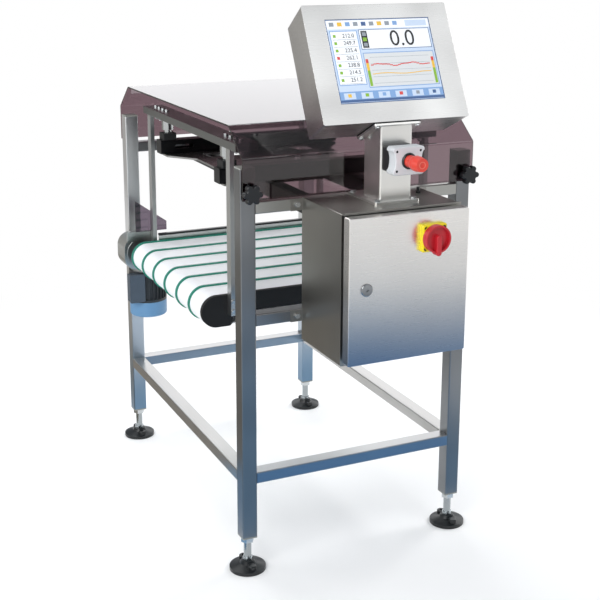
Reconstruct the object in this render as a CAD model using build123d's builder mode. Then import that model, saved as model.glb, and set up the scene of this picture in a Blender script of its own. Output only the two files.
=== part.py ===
from build123d import *
import os

# Checkweigher: a stainless floor frame, a belt conveyor hung from a load cell, a bent
# transparent hood, a control cabinet and an operator terminal on a pedestal.
# Millimetres. The origin is on the floor, midway between the four feet. X is the way
# the products travel, Y points from the operator to the back, Z is up.

os.makedirs("parts", exist_ok=True)

# Floor frame
frame_width = 640.0
frame_depth = 970.0
leg_foot_z = 95.0
leg_top_z = 1050.0
tube_side = 40.0
tube_wall = 3.0
tube_corner = 3.0
rail_height = 30.0
lower_rail_top_z = 270.0
middle_rail_top_z = 688.0
upper_rail_top_z = 970.0

# Levelling feet
foot_radius = 47.0
foot_rim = 9.0
foot_hub_radius = 17.0
foot_hub_z = 25.0
foot_hub_flare = 4.0
foot_socket_z = 12.0
foot_boss_offset = 30.0
foot_boss_radius = 11.0
foot_boss_z = 22.0
foot_boss_rim = 3.0
foot_anchor_radius = 4.5
stem_radius = 10.0
stem_top_z = 170.0
stem_hex_radius = 14.0
stem_hex_height = 8.0
running_gap = 0.05
plug_flange = 4.0
plug_depth = 30.0
nut_radius = 17.5
nut_height = 14.0

# Hood
hood_length = 637.0
hood_depth = 997.0
hood_flat_depth = 823.0
hood_top_z = 1147.0
hood_bend_z = 1079.0
hood_edge_z = 977.0
hood_wall = 4.0
hood_bend_radius = 9.0
hood_stud_z = 995.0
stud_radius = 4.0
stud_grip = 18.0
boss_radius = 10.0
pin_head_radius = 8.0
pin_head = 4.0
seat_gap = 0.3
knob_radius = 25.0
knob_thickness = 16.0
knob_hub_radius = 11.0
knob_hub = 8.0
knob_lobes = 6
knob_lobe_radius = 7.0
knob_rim = 3.0

# Weigh conveyor
belt_top_z = 690.0
belt_half_width = 292.0
belt_thickness = 3.0
nose_radius = 42.0
drum_span = 628.0
rib_count = 6
rib_pitch = 100.0
rib_first_y = 288.0
rib_width = 8.0
rib_height = 4.0
belt_side_gap = 2.0
side_plate_thickness = 12.0
side_beam_height = 50.0
nose_housing_length = 84.0
relief_radius = 10.0
bed_thickness = 3.0
bed_flange = 38.0
bed_drum_gap = 8.0
drum_wall = 4.0
drum_end = 8.0
drum_end_gap = 1.0
shaft_radius = 10.0
shaft_hole_gap = 0.5
shaft_end_gap = 0.5
bearing_radius = 21.0
bearing_width = 9.0
guide_height = 17.0
guide_cap_height = 6.0
guide_thickness = 6.0
guide_inset = 44.0
guard_thickness = 2.0
guard_reach = 18.0
guard_length = 98.0
guard_bottom_z = 715.0
guard_high_z = 812.0
guard_low_z = 742.0

# Gearmotor
gearbox_half = 52.0
gearbox_gap = 34.0
gearbox_depth = 76.0
gearbox_corner = 38.0
gearbox_hub_radius = 44.0
gearbox_hub = 3.0
bracket_reach = 44.0
bracket_length = 86.0
bracket_bottom_z = 686.0
bracket_top_z = 716.0
bracket_thickness = 8.0
shaft_tail = 3.0
worm_bulge_radius = 30.0
flange_radius = 28.0
flange_waist_radius = 24.0
flange_rim = 5.0
flange_bore_radius = 12.0
worm_offset = 30.0
adapter_radius = 52.0
adapter_height = 9.0
motor_radius = 51.0
motor_height = 98.0
motor_end_height = 8.0
fin_count = 28
fin_height = 6.0
fin_width = 2.4
fan_cover_radius = 57.0
fan_cover_height = 47.0
fan_cover_wall = 1.6
fan_cover_rim = 6.0
fan_slot_width = 4.0
fan_slot_count = 10
fan_radius = 48.0
fan_hub_radius = 12.0
fan_blades = 8
fan_blade_thickness = 2.0
fan_blade_height = 22.0
fan_clearance = 5.0
rotor_radius = 7.0
rotor_depth = 60.0
box_offset = 50.0
box_reach = 56.0
box_root = 20.0
box_width = 44.0
box_height = 84.0
box_drop = 6.0
box_lid = 5.0
box_lid_overhang = 2.0
box_corner = 5.0

# Weigh frame
crossbar_inset = 29.0
crossbar_width = 60.0
crossbar_height = 20.0
crossbar_half_length = 371.0
crossbar_top_z = 1092.0
post_thickness = 12.0
post_width = 26.0
post_bottom_z = 640.0
post_foot_length = 36.0
post_foot_width = 58.0
post_foot_thickness = 6.0
standoff_radius = 17.0
standoff_height = 42.0
standoff_neck_radius = 11.0
standoff_neck = 9.0
pad_side = 40.0
pad_height = 20.0
weigh_tube_inset = 2.0
weigh_tube_cap = 2.0
weigh_tube_y = 235.0
weigh_tube_slot = 58.0
weigh_tube_slot_width = 12.0
weigh_tube_slot_x = 212.0
plate_thickness = 5.0
plate_wing_x = 272.0
plate_waist_x = 210.0
plate_shoulder_y = 190.0
plate_waist_y = 109.0
plate_edge_y = 258.0
plate_window_x = 115.0
plate_window_y = 150.0
plate_window_width = 110.0
plate_window_depth = 60.0
plate_window_corner = 12.0
cell_length = 150.0
cell_width = 40.0
cell_bore_radius = 11.0
cell_bore_pitch = 34.0
cell_spacer = 6.0
cell_spacer_length = 38.0
beam_top_gap = 5.0
beam_height = 40.0
beam_inner_x = 100.0
base_thickness = 6.0
base_width = 90.0
cell_bolt_y = 10.0
cell_slit = 3.0

# Fasteners
bolt_radius = 4.0
bolt_hole_gap = 0.2
bolt_head_radius = 7.0
bolt_head = 5.3
bolt_nut = 6.5
row_bolt_length = 36.0
short_bolt_length = 17.0
cell_bolt_length = 23.0
small_bolt_head = 4.0
small_bolt_length = 12.0
row_bolts = 4
row_bolt_pitch = 33.0
post_bolt_radius = 3.0
post_bolt_head_radius = 5.5
post_bolt_pitch = 26.0
post_bolt_low = 12.0
post_bolt_grip = 9.0

# Control cabinet
cabinet_width = 316.0
cabinet_depth = 212.0
cabinet_bottom_z = 608.0
cabinet_top_z = 973.0
cabinet_wall = 2.0
cabinet_corner = 3.0
roof_edge = 4.0
roof_overhang = 8.0
lug_reach = 28.0
lug_height = 30.0
lug_thickness = 3.0
door_gap = 13.0
door_thickness = 27.0
door_bottom_z = 619.0
door_top_z = 970.0
door_sheet = 2.0
door_edge_radius = 4.0
gasket_width = 9.0
gasket_inset = 17.0
gasket_margin = 2.0
opening_corner = 6.0
hinge_inset = 6.0
hinge_pin_radius = 3.0
knuckle_radius = 5.5
knuckle_height = 30.0
hinge_lug = 8.0
hinge_end_offset = 60.0
lock_x = -112.0
lock_z = 800.0
lock_barrel_radius = 11.0
lock_head_radius = 15.0
lock_head = 4.0
lock_shaft_radius = 6.0
lock_cam_gap = 2.0
lock_key_radius = 5.0
lock_key_depth = 2.5
lock_cam_reach = 42.0
lock_cam_width = 18.0
lock_cam = 3.0
panel_offset = 12.0
panel_thickness = 3.0
panel_margin = 34.0
panel_top_margin = 24.0
panel_stud_radius = 5.0

# Control gear on the mounting plate
drive_width = 80.0
drive_height = 150.0
drive_depth = 118.0
drive_x = -76.0
drive_z = 848.0
supply_width = 60.0
supply_height = 118.0
supply_depth = 100.0
supply_x = 8.0
supply_z = 810.0
relay_count = 6
relay_pitch = 18.5
relay_width = 17.5
relay_height = 80.0
relay_depth = 62.0
relay_first_x = -112.0
relay_z = 700.0
switch_side = 58.0
switch_depth = 70.0
switch_shaft_side = 8.0
switch_shaft_end_gap = 6.0
vent_pitch = 9.0
vent_width = 3.0
vent_depth = 8.0
vent_count = 7

# Isolator on the door
isolator_x = 57.0
isolator_z = 909.0
isolator_side = 65.0
isolator_thickness = 15.0
isolator_corner = 4.0
isolator_slope = 3.0
handle_radius = 33.0
handle_base = 17.0
handle_grip_width = 14.0
handle_grip_top = 10.0
handle_grip_bottom = 39.0
handle_grip = 4.0
handle_grip_round = 2.5
handle_rim = 4.0
handle_recess = 9.0
isolator_slot_reach = 35.0
isolator_slot_width = 3.0
isolator_slot_length = 11.0
isolator_slot_depth = 2.0
handle_hub_radius = 6.0
handle_hub_end = 2.0

# Pedestal and terminal
pedestal_x = 16.0
pedestal_y = -593.0
column_side = 84.0
column_wall = 3.0
column_spare = 210.0
column_corner = 5.0
foot_plate_width = 119.0
foot_plate_depth = 147.0
foot_plate_front = 12.0
foot_plate_thickness = 6.0
foot_plate_bolt_inset = 11.0
terminal_tilt = 26.3
terminal_face_width = 386.0
terminal_face_height = 291.0
terminal_depth = 105.0
terminal_face_y = -577.0
terminal_face_z = 1299.3
terminal_taper_side = 8.0
terminal_taper_top = 10.0
terminal_sheet = 2.5
terminal_edge_radius = 5.0
screen_width = 278.0
screen_height = 206.0
screen_up = 6.0
screen_recess = 1.0
screen_thickness = 6.0
rear_cover = 3.0
rear_cover_inset = 2.0
rear_rim = 20.0
screen_gap = 0.3
screen_frame = 8.0
cable_way_radius = 24.0
top_flange_width = 124.0
top_flange_depth = 103.0
top_flange_front = 2.0
top_flange_bolt_inset = 9.0
top_flange_corner = 6.0
top_flange_thickness = 5.0
top_gasket = 3.0

# Emergency stop
stop_z = 1083.0
stop_width = 83.0
stop_height = 66.0
stop_base_width = 76.0
stop_base_height = 60.0
stop_base_depth = 28.0
stop_cover_depth = 31.0
stop_waist = 7.0
stop_waist_height = 46.0
stop_face_rim = 3.0
stop_corner = 7.0
stop_screw_x = 31.0
stop_screw_z = 23.0
stop_screw_radius = 3.2
stop_screw_depth = 3.0
stop_bore_depth = 12.0
stop_stem_radius = 8.0
stop_stem_length = 40.0
stop_travel = 5.0
collar_radius = 19.0
collar_gap = 0.7
collar_height = 5.0
button_neck_radius = 14.5
button_head_radius = 18.0
button_length = 61.0
button_gap = 0.3
button_neck = 12.0
button_flare = 16.0
button_nose = 17.0
button_dish_radius = 10.0
button_dish = 2.0
button_rim = 5.0

# Cable glands
gland_radius = 8.0
gland_height = 16.0
gland_nut_radius = 10.0
gland_nut = 5.0
plug_screw_radius = 4.0
plug_screw_height = 14.0
plug_screw_seat_radius = 7.0
gland_x = 122.0
gland_y = -560.0
lower_gland_count = 4
lower_gland_pitch = 34.0
lower_gland_first_x = -90.0
lower_gland_y = -590.0

# Places worked out from the sizes above
half_x = frame_width / 2
half_y = frame_depth / 2
leg_x = half_x - tube_side / 2
leg_y = half_y - tube_side / 2
inner_x = half_x - tube_side
inner_y = half_y - tube_side
drum_x = drum_span / 2
drum_z = belt_top_z - nose_radius
drum_radius = nose_radius - belt_thickness - seat_gap
plate_inner_y = belt_half_width + belt_side_gap
plate_outer_y = plate_inner_y + side_plate_thickness
crossbar_outer_x = drum_x - crossbar_inset
weigh_tube_half = crossbar_outer_x - weigh_tube_inset
guide_half_length = drum_x - guide_inset
guard_left_x = -drum_x - guard_reach
guard_right_x = guard_left_x + guard_length
post_x = crossbar_outer_x - post_thickness / 2
post_y = plate_outer_y + post_width / 2
post_back_y = plate_outer_y + post_width
crossbar_x = crossbar_outer_x - crossbar_width / 2
pad_x = crossbar_x
crossbar_bottom_z = crossbar_top_z - crossbar_height
weigh_tube_z = crossbar_bottom_z - standoff_height - pad_height - tube_side / 2
weigh_tube_bottom_z = weigh_tube_z - tube_side / 2
plate_bottom_z = weigh_tube_bottom_z - plate_thickness
post_bolt_levels = [post_bottom_z + post_bolt_low + n * post_bolt_pitch for n in range(2)]
beam_top_z = plate_bottom_z - beam_top_gap
beam_bottom_z = beam_top_z - beam_height
cell_end_x = (cell_length - cell_spacer_length) / 2
cell_bolt_places = [(cell_end_x, sy * cell_bolt_y) for sy in (-1, 1)]
hood_inner_y = hood_depth / 2 - hood_wall
boss_length = hood_inner_y - half_y
cabinet_half = cabinet_width / 2
lug_x = cabinet_half + lug_reach / 2
cabinet_back_y = -half_y
cabinet_front_y = cabinet_back_y - cabinet_depth
door_back_y = cabinet_front_y - door_gap
door_front_y = door_back_y - door_thickness
panel_y = cabinet_back_y - cabinet_wall - panel_offset - panel_thickness
hinge_x = cabinet_width / 2 - hinge_inset
hinge_y = cabinet_front_y - door_gap / 2
column_front_y = pedestal_y - column_side / 2
stop_cover_y = column_front_y - stop_base_depth
stop_face_y = stop_cover_y - stop_cover_depth
motor_x = -drum_x + worm_offset
gearbox_front_y = plate_outer_y + gearbox_gap
motor_y = gearbox_front_y + gearbox_depth / 2
motor_top_z = drum_z - gearbox_half - adapter_height
motor_bottom_z = motor_top_z - motor_height
fan_cover_bottom_z = motor_bottom_z - fan_cover_height

sides = {"left": -1, "right": 1}
ends = {"front": -1, "back": 1}
corners = [(sx * leg_x, sy * leg_y) for sx in (-1, 1) for sy in (-1, 1)]


def level(z):
    """Horizontal sketch plane at height z; its normal points up."""
    return Plane.XY.offset(z)


def upright(y):
    """Vertical sketch plane at depth y in (x, z); its normal points to the operator."""
    return Plane.XZ.offset(-y)


def across(x):
    """Vertical sketch plane at x in (y, z); its normal points to the outfeed."""
    return Plane.YZ.offset(x)


def hollow_section(width, height, wall, corner):
    """Section of a square tube, drawn in the sketch that is open."""
    RectangleRounded(width, height, corner)
    Rectangle(width - 2 * wall, height - 2 * wall, mode=Mode.SUBTRACT)


def rails_along_x(top_z, depths, bolt_x=None):
    """Frame rails between the legs, one for each depth, with cabinet bolt holes if asked."""
    with BuildPart() as rails:
        with BuildSketch(across(-inner_x)):
            with Locations(*[(y, top_z - rail_height / 2) for y in depths]):
                hollow_section(tube_side, rail_height, tube_wall, tube_corner)
        extrude(amount=2 * inner_x)
        if bolt_x:
            with BuildSketch(upright(-half_y)):
                with Locations(*[(sx * bolt_x, top_z - rail_height / 2) for sx in (-1, 1)]):
                    Circle(bolt_radius + running_gap)
            extrude(amount=-tube_wall, mode=Mode.SUBTRACT)
    return rails


# Legs. The front legs carry a threaded boss for a hood knob, the back legs a headed pin.
for end, sy in ends.items():
    for side, sx in sides.items():
        with BuildPart() as leg:
            with BuildSketch(level(leg_foot_z)):
                with Locations((sx * leg_x, sy * leg_y)):
                    hollow_section(tube_side, tube_side, tube_wall, tube_corner)
            extrude(amount=leg_top_z - leg_foot_z)
            with BuildSketch(upright(sy * half_y)):
                with Locations((sx * leg_x, hood_stud_z)):
                    Circle(boss_radius)
            extrude(amount=-sy * boss_length)
            if end == "front":
                with BuildSketch(upright(-half_y - boss_length)):
                    with Locations((sx * leg_x, hood_stud_z)):
                        Circle(stud_radius + running_gap)
                extrude(amount=-boss_length - tube_wall, mode=Mode.SUBTRACT)
            else:
                with BuildSketch(upright(half_y + boss_length)):
                    with Locations((sx * leg_x, hood_stud_z)):
                        Circle(stud_radius)
                extrude(amount=-hood_wall - 2 * seat_gap)
                with BuildSketch(upright(half_y + boss_length + hood_wall + 2 * seat_gap)):
                    with Locations((sx * leg_x, hood_stud_z)):
                        Circle(pin_head_radius)
                extrude(amount=-pin_head)
        leg.part.label = f"leg_{end}_{side}"
        export_step(leg.part, f"parts/leg_{end}_{side}.step")

lower_rails_long = rails_along_x(lower_rail_top_z, (-leg_y, leg_y))
lower_rails_long.part.label = "lower_rails_long"
export_step(lower_rails_long.part, "parts/lower_rails_long.step")

with BuildPart() as lower_rails_side:
    with BuildSketch(upright(inner_y)):
        with Locations(*[(sx * leg_x, lower_rail_top_z - rail_height / 2) for sx in (-1, 1)]):
            hollow_section(tube_side, rail_height, tube_wall, tube_corner)
    extrude(amount=2 * inner_y)
lower_rails_side.part.label = "lower_rails_side"
export_step(lower_rails_side.part, "parts/lower_rails_side.step")

middle_rail = rails_along_x(middle_rail_top_z, (-leg_y,), lug_x)
middle_rail.part.label = "middle_rail"
export_step(middle_rail.part, "parts/middle_rail.step")

upper_rail_front = rails_along_x(upper_rail_top_z, (-leg_y,), lug_x)
upper_rail_front.part.label = "upper_rail_front"
export_step(upper_rail_front.part, "parts/upper_rail_front.step")

upper_rail_back = rails_along_x(upper_rail_top_z, (leg_y,))
upper_rail_back.part.label = "upper_rail_back"
export_step(upper_rail_back.part, "parts/upper_rail_back.step")

# Two cross beams between the upper rails and the base plate that the load cell stands on.
beam_x = beam_inner_x + tube_side / 2
with BuildPart() as load_cell_beams:
    with BuildSketch(upright(inner_y)):
        with Locations(*[(sx * beam_x, beam_top_z - beam_height / 2) for sx in (-1, 1)]):
            hollow_section(tube_side, beam_height, tube_wall, tube_corner)
    extrude(amount=2 * inner_y)
    with BuildSketch(level(beam_bottom_z - base_thickness)):
        RectangleRounded(2 * (beam_inner_x + tube_side), base_width, tube_corner)
        with Locations(*[(-x, y) for x, y in cell_bolt_places]):
            Circle(bolt_radius + bolt_hole_gap, mode=Mode.SUBTRACT)
    extrude(amount=base_thickness)
load_cell_beams.part.label = "load_cell_beams"
export_step(load_cell_beams.part, "parts/load_cell_beams.step")

# Plastic plugs in the tube ends: a plain cap on top, a bored plug that carries the foot.
plug_side = tube_side - 2 * tube_wall
with BuildPart() as leg_plugs:
    with BuildSketch(level(leg_foot_z - plug_flange)):
        with Locations(*corners):
            RectangleRounded(tube_side, tube_side, tube_corner)
    extrude(amount=plug_flange)
    with BuildSketch(level(leg_foot_z)):
        with Locations(*corners):
            Rectangle(plug_side, plug_side)
    extrude(amount=plug_depth)
    with BuildSketch(level(leg_foot_z - plug_flange)):
        with Locations(*corners):
            Circle(stem_radius + running_gap)
    extrude(amount=plug_flange + plug_depth, mode=Mode.SUBTRACT)
    with BuildSketch(level(leg_top_z)):
        with Locations(*corners):
            RectangleRounded(tube_side, tube_side, tube_corner)
    extrude(amount=plug_flange)
    with BuildSketch(level(leg_top_z)):
        with Locations(*corners):
            Rectangle(plug_side, plug_side)
    extrude(amount=-plug_depth / 2)
leg_plugs.part.label = "leg_plugs"
export_step(leg_plugs.part, "parts/leg_plugs.step")


def foot_pad(x, y, anchor_side):
    """Pad with two bosses, one of them drilled for a floor anchor, and a socket for the stem."""
    upright_here = Plane(origin=(x, y, 0), x_dir=(1, 0, 0), z_dir=(0, -1, 0))
    with BuildPart() as pad:
        with BuildSketch(upright_here):
            with BuildLine():
                Polyline(
                    (0, 0),
                    (foot_radius, 0),
                    (foot_radius, foot_rim),
                    (foot_hub_radius + foot_hub_flare, foot_hub_z - foot_rim),
                    (foot_hub_radius, foot_hub_z),
                    (0, foot_hub_z),
                    close=True,
                )
            make_face()
        revolve(axis=Axis((x, y, 0), (0, 0, 1)))
        with BuildSketch(level(0)):
            with Locations((x, y - foot_boss_offset), (x, y + foot_boss_offset)):
                Circle(foot_boss_radius)
        extrude(amount=foot_boss_z)
        boss_tops = pad.faces().filter_by(Plane.XY).filter_by(
            lambda face: abs(face.center().Z - foot_boss_z) < seat_gap
        )
        fillet(boss_tops.edges(), radius=foot_boss_rim)
        with BuildSketch(level(0)):
            with Locations((x, y + anchor_side * foot_boss_offset)):
                Circle(foot_anchor_radius)
        extrude(amount=foot_hub_z, mode=Mode.SUBTRACT)
        with BuildSketch(level(foot_socket_z)):
            with Locations((x, y)):
                Circle(stem_radius)
        extrude(amount=foot_hub_z, mode=Mode.SUBTRACT)
    return pad


def foot_stem(x, y):
    """Threaded stem with a hexagon above the pad's hub."""
    with BuildPart() as stem:
        with BuildSketch(level(foot_socket_z)):
            with Locations((x, y)):
                Circle(stem_radius)
        extrude(amount=stem_top_z - foot_socket_z)
        with BuildSketch(level(foot_hub_z)):
            with Locations((x, y)):
                RegularPolygon(stem_hex_radius, 6)
        extrude(amount=stem_hex_height)
    return stem


# Levelling feet: the pad and the stem that turns in it are separate solids.
for end, sy in ends.items():
    for side, sx in sides.items():
        pad = foot_pad(sx * leg_x, sy * leg_y, -sy)
        stem = foot_stem(sx * leg_x, sy * leg_y)
        foot = Compound(label=f"foot_{end}_{side}", children=[pad.part, stem.part])
        export_step(foot, f"parts/foot_{end}_{side}.step")

# Hood: one bent sheet with slots that drop over the studs on the legs.
with BuildPart() as hood:
    with BuildSketch(across(-hood_length / 2)):
        with BuildLine():
            FilletPolyline(
                (-hood_depth / 2, hood_edge_z),
                (-hood_depth / 2, hood_bend_z),
                (-hood_flat_depth / 2, hood_top_z),
                (hood_flat_depth / 2, hood_top_z),
                (hood_depth / 2, hood_bend_z),
                (hood_depth / 2, hood_edge_z),
                radius=hood_bend_radius,
            )
            offset(amount=hood_wall, side=Side.RIGHT)
        make_face()
    extrude(amount=hood_length)
    with BuildSketch(upright(hood_depth / 2 + hood_wall)):
        slot_radius = stud_radius + seat_gap
        with Locations((-leg_x, hood_stud_z), (leg_x, hood_stud_z)):
            Circle(slot_radius)
        with Locations((-leg_x, hood_edge_z), (leg_x, hood_edge_z)):
            Rectangle(2 * slot_radius, 2 * (hood_stud_z - hood_edge_z))
    extrude(amount=hood_depth + 2 * hood_wall, mode=Mode.SUBTRACT)
hood.part.label = "hood"
export_step(hood.part, "parts/hood.step")

# Star knobs with a threaded stud, one at each front corner of the hood.
knob_back_y = -hood_depth / 2 - seat_gap
for side, sx in sides.items():
    with BuildPart() as hood_knob:
        with BuildSketch(upright(knob_back_y)):
            with Locations((sx * leg_x, hood_stud_z)):
                Circle(knob_hub_radius)
        extrude(amount=knob_hub)
        with BuildSketch(upright(knob_back_y - knob_hub)):
            with Locations((sx * leg_x, hood_stud_z)):
                Circle(knob_radius - knob_lobe_radius)
                with PolarLocations(knob_radius - knob_lobe_radius, knob_lobes):
                    Circle(knob_lobe_radius)
        extrude(amount=knob_thickness)
        rims = hood_knob.edges().filter_by(GeomType.CIRCLE).group_by(Axis.Y)[0]
        fillet(rims, radius=knob_rim)
        with BuildSketch(upright(knob_back_y)):
            with Locations((sx * leg_x, hood_stud_z)):
                Circle(stud_radius)
        extrude(amount=-hood_wall - boss_length - stud_grip)
    hood_knob.part.label = f"hood_knob_{side}"
    export_step(hood_knob.part, f"parts/hood_knob_{side}.step")


def side_plate(outer_y, inward):
    """Conveyor side plate: a beam with a round, blind bearing housing at each end.

    The outer face is at outer_y; inward is -1 for the front plate and 1 for the back.
    """
    beam_bottom = belt_top_z - side_beam_height
    housing_x = drum_x + nose_radius - nose_housing_length
    with BuildPart() as plate:
        with BuildSketch(upright(outer_y)) as outline:
            with Locations((0, drum_z)):
                SlotCenterToCenter(drum_span, 2 * nose_radius)
            with Locations((0, beam_bottom - nose_radius)):
                Rectangle(2 * housing_x, 2 * nose_radius, mode=Mode.SUBTRACT)
            steps = [v for v in outline.vertices() if abs(abs(v.X) - housing_x) < 1]
            fillet(steps, radius=relief_radius)
        extrude(amount=inward * side_plate_thickness)
        with BuildSketch(upright(outer_y - inward * side_plate_thickness)):
            with Locations((-drum_x, drum_z), (drum_x, drum_z)):
                Circle(bearing_radius)
        extrude(amount=-inward * bearing_width, mode=Mode.SUBTRACT)
        with BuildSketch(upright(outer_y)):
            with Locations(*[(sx * post_x, z) for sx in (-1, 1) for z in post_bolt_levels]):
                Circle(post_bolt_radius + running_gap)
        extrude(amount=inward * post_bolt_grip, mode=Mode.SUBTRACT)
    return plate


def turned_along_y(x, z, profile):
    """Solid turned about a shaft line along Y; the profile holds (radius, y) points."""
    with BuildPart() as turned:
        with BuildSketch(level(z)):
            with BuildLine():
                Polyline(*[(x + radius, y) for radius, y in profile], close=True)
            make_face()
        revolve(axis=Axis((x, 0, z), (0, 1, 0)))
    return turned


side_plate_front = side_plate(-plate_outer_y, -1)
side_plate_front.part.label = "side_plate_front"
export_step(side_plate_front.part, "parts/side_plate_front.step")

with BuildPart() as side_plate_back:
    add(side_plate(plate_outer_y, 1).part)
    with BuildSketch(upright(plate_outer_y)):
        with Locations((-drum_x, drum_z)):
            Circle(shaft_radius + shaft_hole_gap)
    extrude(amount=side_plate_thickness, mode=Mode.SUBTRACT)
side_plate_back.part.label = "side_plate_back"
export_step(side_plate_back.part, "parts/side_plate_back.step")

# Slider bed: a folded sheet under the carrying run of the belt.
bed_top_z = belt_top_z - belt_thickness
bed_half = drum_x - nose_radius - bed_drum_gap
with BuildPart() as slider_bed:
    with BuildSketch(across(-bed_half)):
        with Locations((0, bed_top_z - bed_flange / 2)):
            Rectangle(2 * plate_inner_y, bed_flange)
        with Locations((0, bed_top_z - bed_thickness - bed_flange / 2)):
            Rectangle(2 * (plate_inner_y - bed_thickness), bed_flange, mode=Mode.SUBTRACT)
    extrude(amount=2 * bed_half)
slider_bed.part.label = "slider_bed"
export_step(slider_bed.part, "parts/slider_bed.step")


def drum(x, shaft_back_y):
    """Hollow belt drum with welded ends on a through shaft."""
    end_y = plate_inner_y - drum_end_gap
    cavity_y = end_y - drum_end
    shaft_front_y = -plate_inner_y - bearing_width + shaft_end_gap
    with BuildPart() as roller:
        add(turned_along_y(x, drum_z, [
            (0, -end_y), (drum_radius, -end_y), (drum_radius, end_y), (0, end_y),
        ]).part)
        add(turned_along_y(x, drum_z, [
            (shaft_radius, -cavity_y), (drum_radius - drum_wall, -cavity_y),
            (drum_radius - drum_wall, cavity_y), (shaft_radius, cavity_y),
        ]).part, mode=Mode.SUBTRACT)
        with BuildSketch(upright(shaft_back_y)):
            with Locations((x, drum_z)):
                Circle(shaft_radius)
        extrude(amount=shaft_back_y - shaft_front_y)
    return roller


drive_shaft_end_y = gearbox_front_y + gearbox_depth + gearbox_hub - shaft_tail
drive_drum = drum(-drum_x, drive_shaft_end_y)
drive_drum.part.label = "drive_drum"
export_step(drive_drum.part, "parts/drive_drum.step")

tail_drum = drum(drum_x, plate_inner_y + bearing_width - shaft_end_gap)
tail_drum.part.label = "tail_drum"
export_step(tail_drum.part, "parts/tail_drum.step")

# Ball bearings as closed rings in the blind housings of the side plates.
with BuildPart() as drum_bearings:
    with BuildSketch(upright(plate_inner_y + bearing_width)):
        with Locations((-drum_x, drum_z), (drum_x, drum_z)):
            Circle(bearing_radius)
            Circle(shaft_radius + running_gap, mode=Mode.SUBTRACT)
    extrude(amount=bearing_width)
    with BuildSketch(upright(-plate_inner_y)):
        with Locations((-drum_x, drum_z), (drum_x, drum_z)):
            Circle(bearing_radius)
            Circle(shaft_radius + running_gap, mode=Mode.SUBTRACT)
    extrude(amount=bearing_width)
drum_bearings.part.label = "drum_bearings"
export_step(drum_bearings.part, "parts/drum_bearings.step")

# Endless belt with round-the-loop ribs.
with BuildPart() as belt:
    with BuildSketch(upright(belt_half_width)):
        with Locations((0, drum_z)):
            SlotCenterToCenter(drum_span, 2 * nose_radius)
            SlotCenterToCenter(
                drum_span, 2 * (nose_radius - belt_thickness), mode=Mode.SUBTRACT
            )
    extrude(amount=2 * belt_half_width)
belt.part.label = "belt"
export_step(belt.part, "parts/belt.step")

with BuildPart() as belt_ribs:
    for n in range(rib_count):
        with BuildSketch(upright(rib_first_y - n * rib_pitch + rib_width / 2)):
            with Locations((0, drum_z)):
                SlotCenterToCenter(drum_span, 2 * (nose_radius + rib_height))
                SlotCenterToCenter(drum_span, 2 * nose_radius, mode=Mode.SUBTRACT)
        extrude(amount=rib_width)
belt_ribs.part.label = "belt_ribs"
export_step(belt_ribs.part, "parts/belt_ribs.step")

# Product guide on the back side plate and the drive guard on the back left post.
guide_y = (plate_inner_y + plate_outer_y) / 2
guard_back_y = post_back_y + guard_thickness
with BuildPart() as belt_guards:
    with BuildSketch(across(-guide_half_length)):
        with Locations((guide_y, belt_top_z + guide_height / 2)):
            Rectangle(guide_thickness, guide_height)
        with Locations((guide_y, belt_top_z + guide_height + guide_cap_height / 2)):
            Rectangle(side_plate_thickness, guide_cap_height)
    extrude(amount=2 * guide_half_length)
    with BuildSketch(upright(guard_back_y)):
        with BuildLine():
            Polyline(
                (guard_left_x, guard_bottom_z),
                (guard_right_x, guard_bottom_z),
                (guard_right_x, guard_low_z),
                (guard_left_x, guard_high_z),
                close=True,
            )
        make_face()
    extrude(amount=guard_thickness)
belt_guards.part.label = "belt_guards"
export_step(belt_guards.part, "parts/belt_guards.step")

# Worm gearbox: round housing, worm bulge beside it, hubs, the motor adapter below and a
# bracket on top that holds the belt guard.
with BuildPart() as gearbox:
    with BuildSketch(upright(gearbox_front_y + gearbox_depth)):
        with Locations((-drum_x, drum_z)):
            RectangleRounded(2 * gearbox_half, 2 * gearbox_half, gearbox_corner)
    extrude(amount=gearbox_depth)
    with BuildSketch(upright(gearbox_front_y + gearbox_depth + gearbox_hub)):
        with Locations((-drum_x, drum_z)):
            Circle(gearbox_hub_radius)
    extrude(amount=gearbox_depth + 2 * gearbox_hub)
    with BuildSketch(level(motor_top_z + adapter_height)):
        with Locations((motor_x, motor_y)):
            Circle(worm_bulge_radius)
    extrude(amount=2 * gearbox_half)
    with BuildSketch(level(motor_top_z)):
        with Locations((motor_x, motor_y)):
            Circle(adapter_radius)
    extrude(amount=adapter_height)
    with BuildSketch(level(bracket_bottom_z)):
        with Locations((-drum_x - bracket_reach, guard_back_y)):
            Rectangle(bracket_length, bracket_thickness, align=Align.MIN)
    extrude(amount=bracket_top_z - bracket_bottom_z)
    with BuildSketch(upright(gearbox_front_y + gearbox_depth + gearbox_hub)):
        with Locations((-drum_x, drum_z)):
            Circle(shaft_radius + running_gap)
    extrude(amount=gearbox_depth + 2 * gearbox_hub, mode=Mode.SUBTRACT)
gearbox.part.label = "gearbox"
export_step(gearbox.part, "parts/gearbox.step")

hub_y = gearbox_front_y - gearbox_hub
gearbox_flange = turned_along_y(-drum_x, drum_z, [
    (flange_bore_radius, plate_outer_y),
    (flange_radius, plate_outer_y),
    (flange_radius, plate_outer_y + flange_rim),
    (flange_waist_radius, plate_outer_y + flange_rim),
    (flange_waist_radius, hub_y - flange_rim),
    (flange_radius, hub_y - flange_rim),
    (flange_radius, hub_y),
    (flange_bore_radius, hub_y),
])
gearbox_flange.part.label = "gearbox_flange"
export_step(gearbox_flange.part, "parts/gearbox_flange.step")

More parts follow.
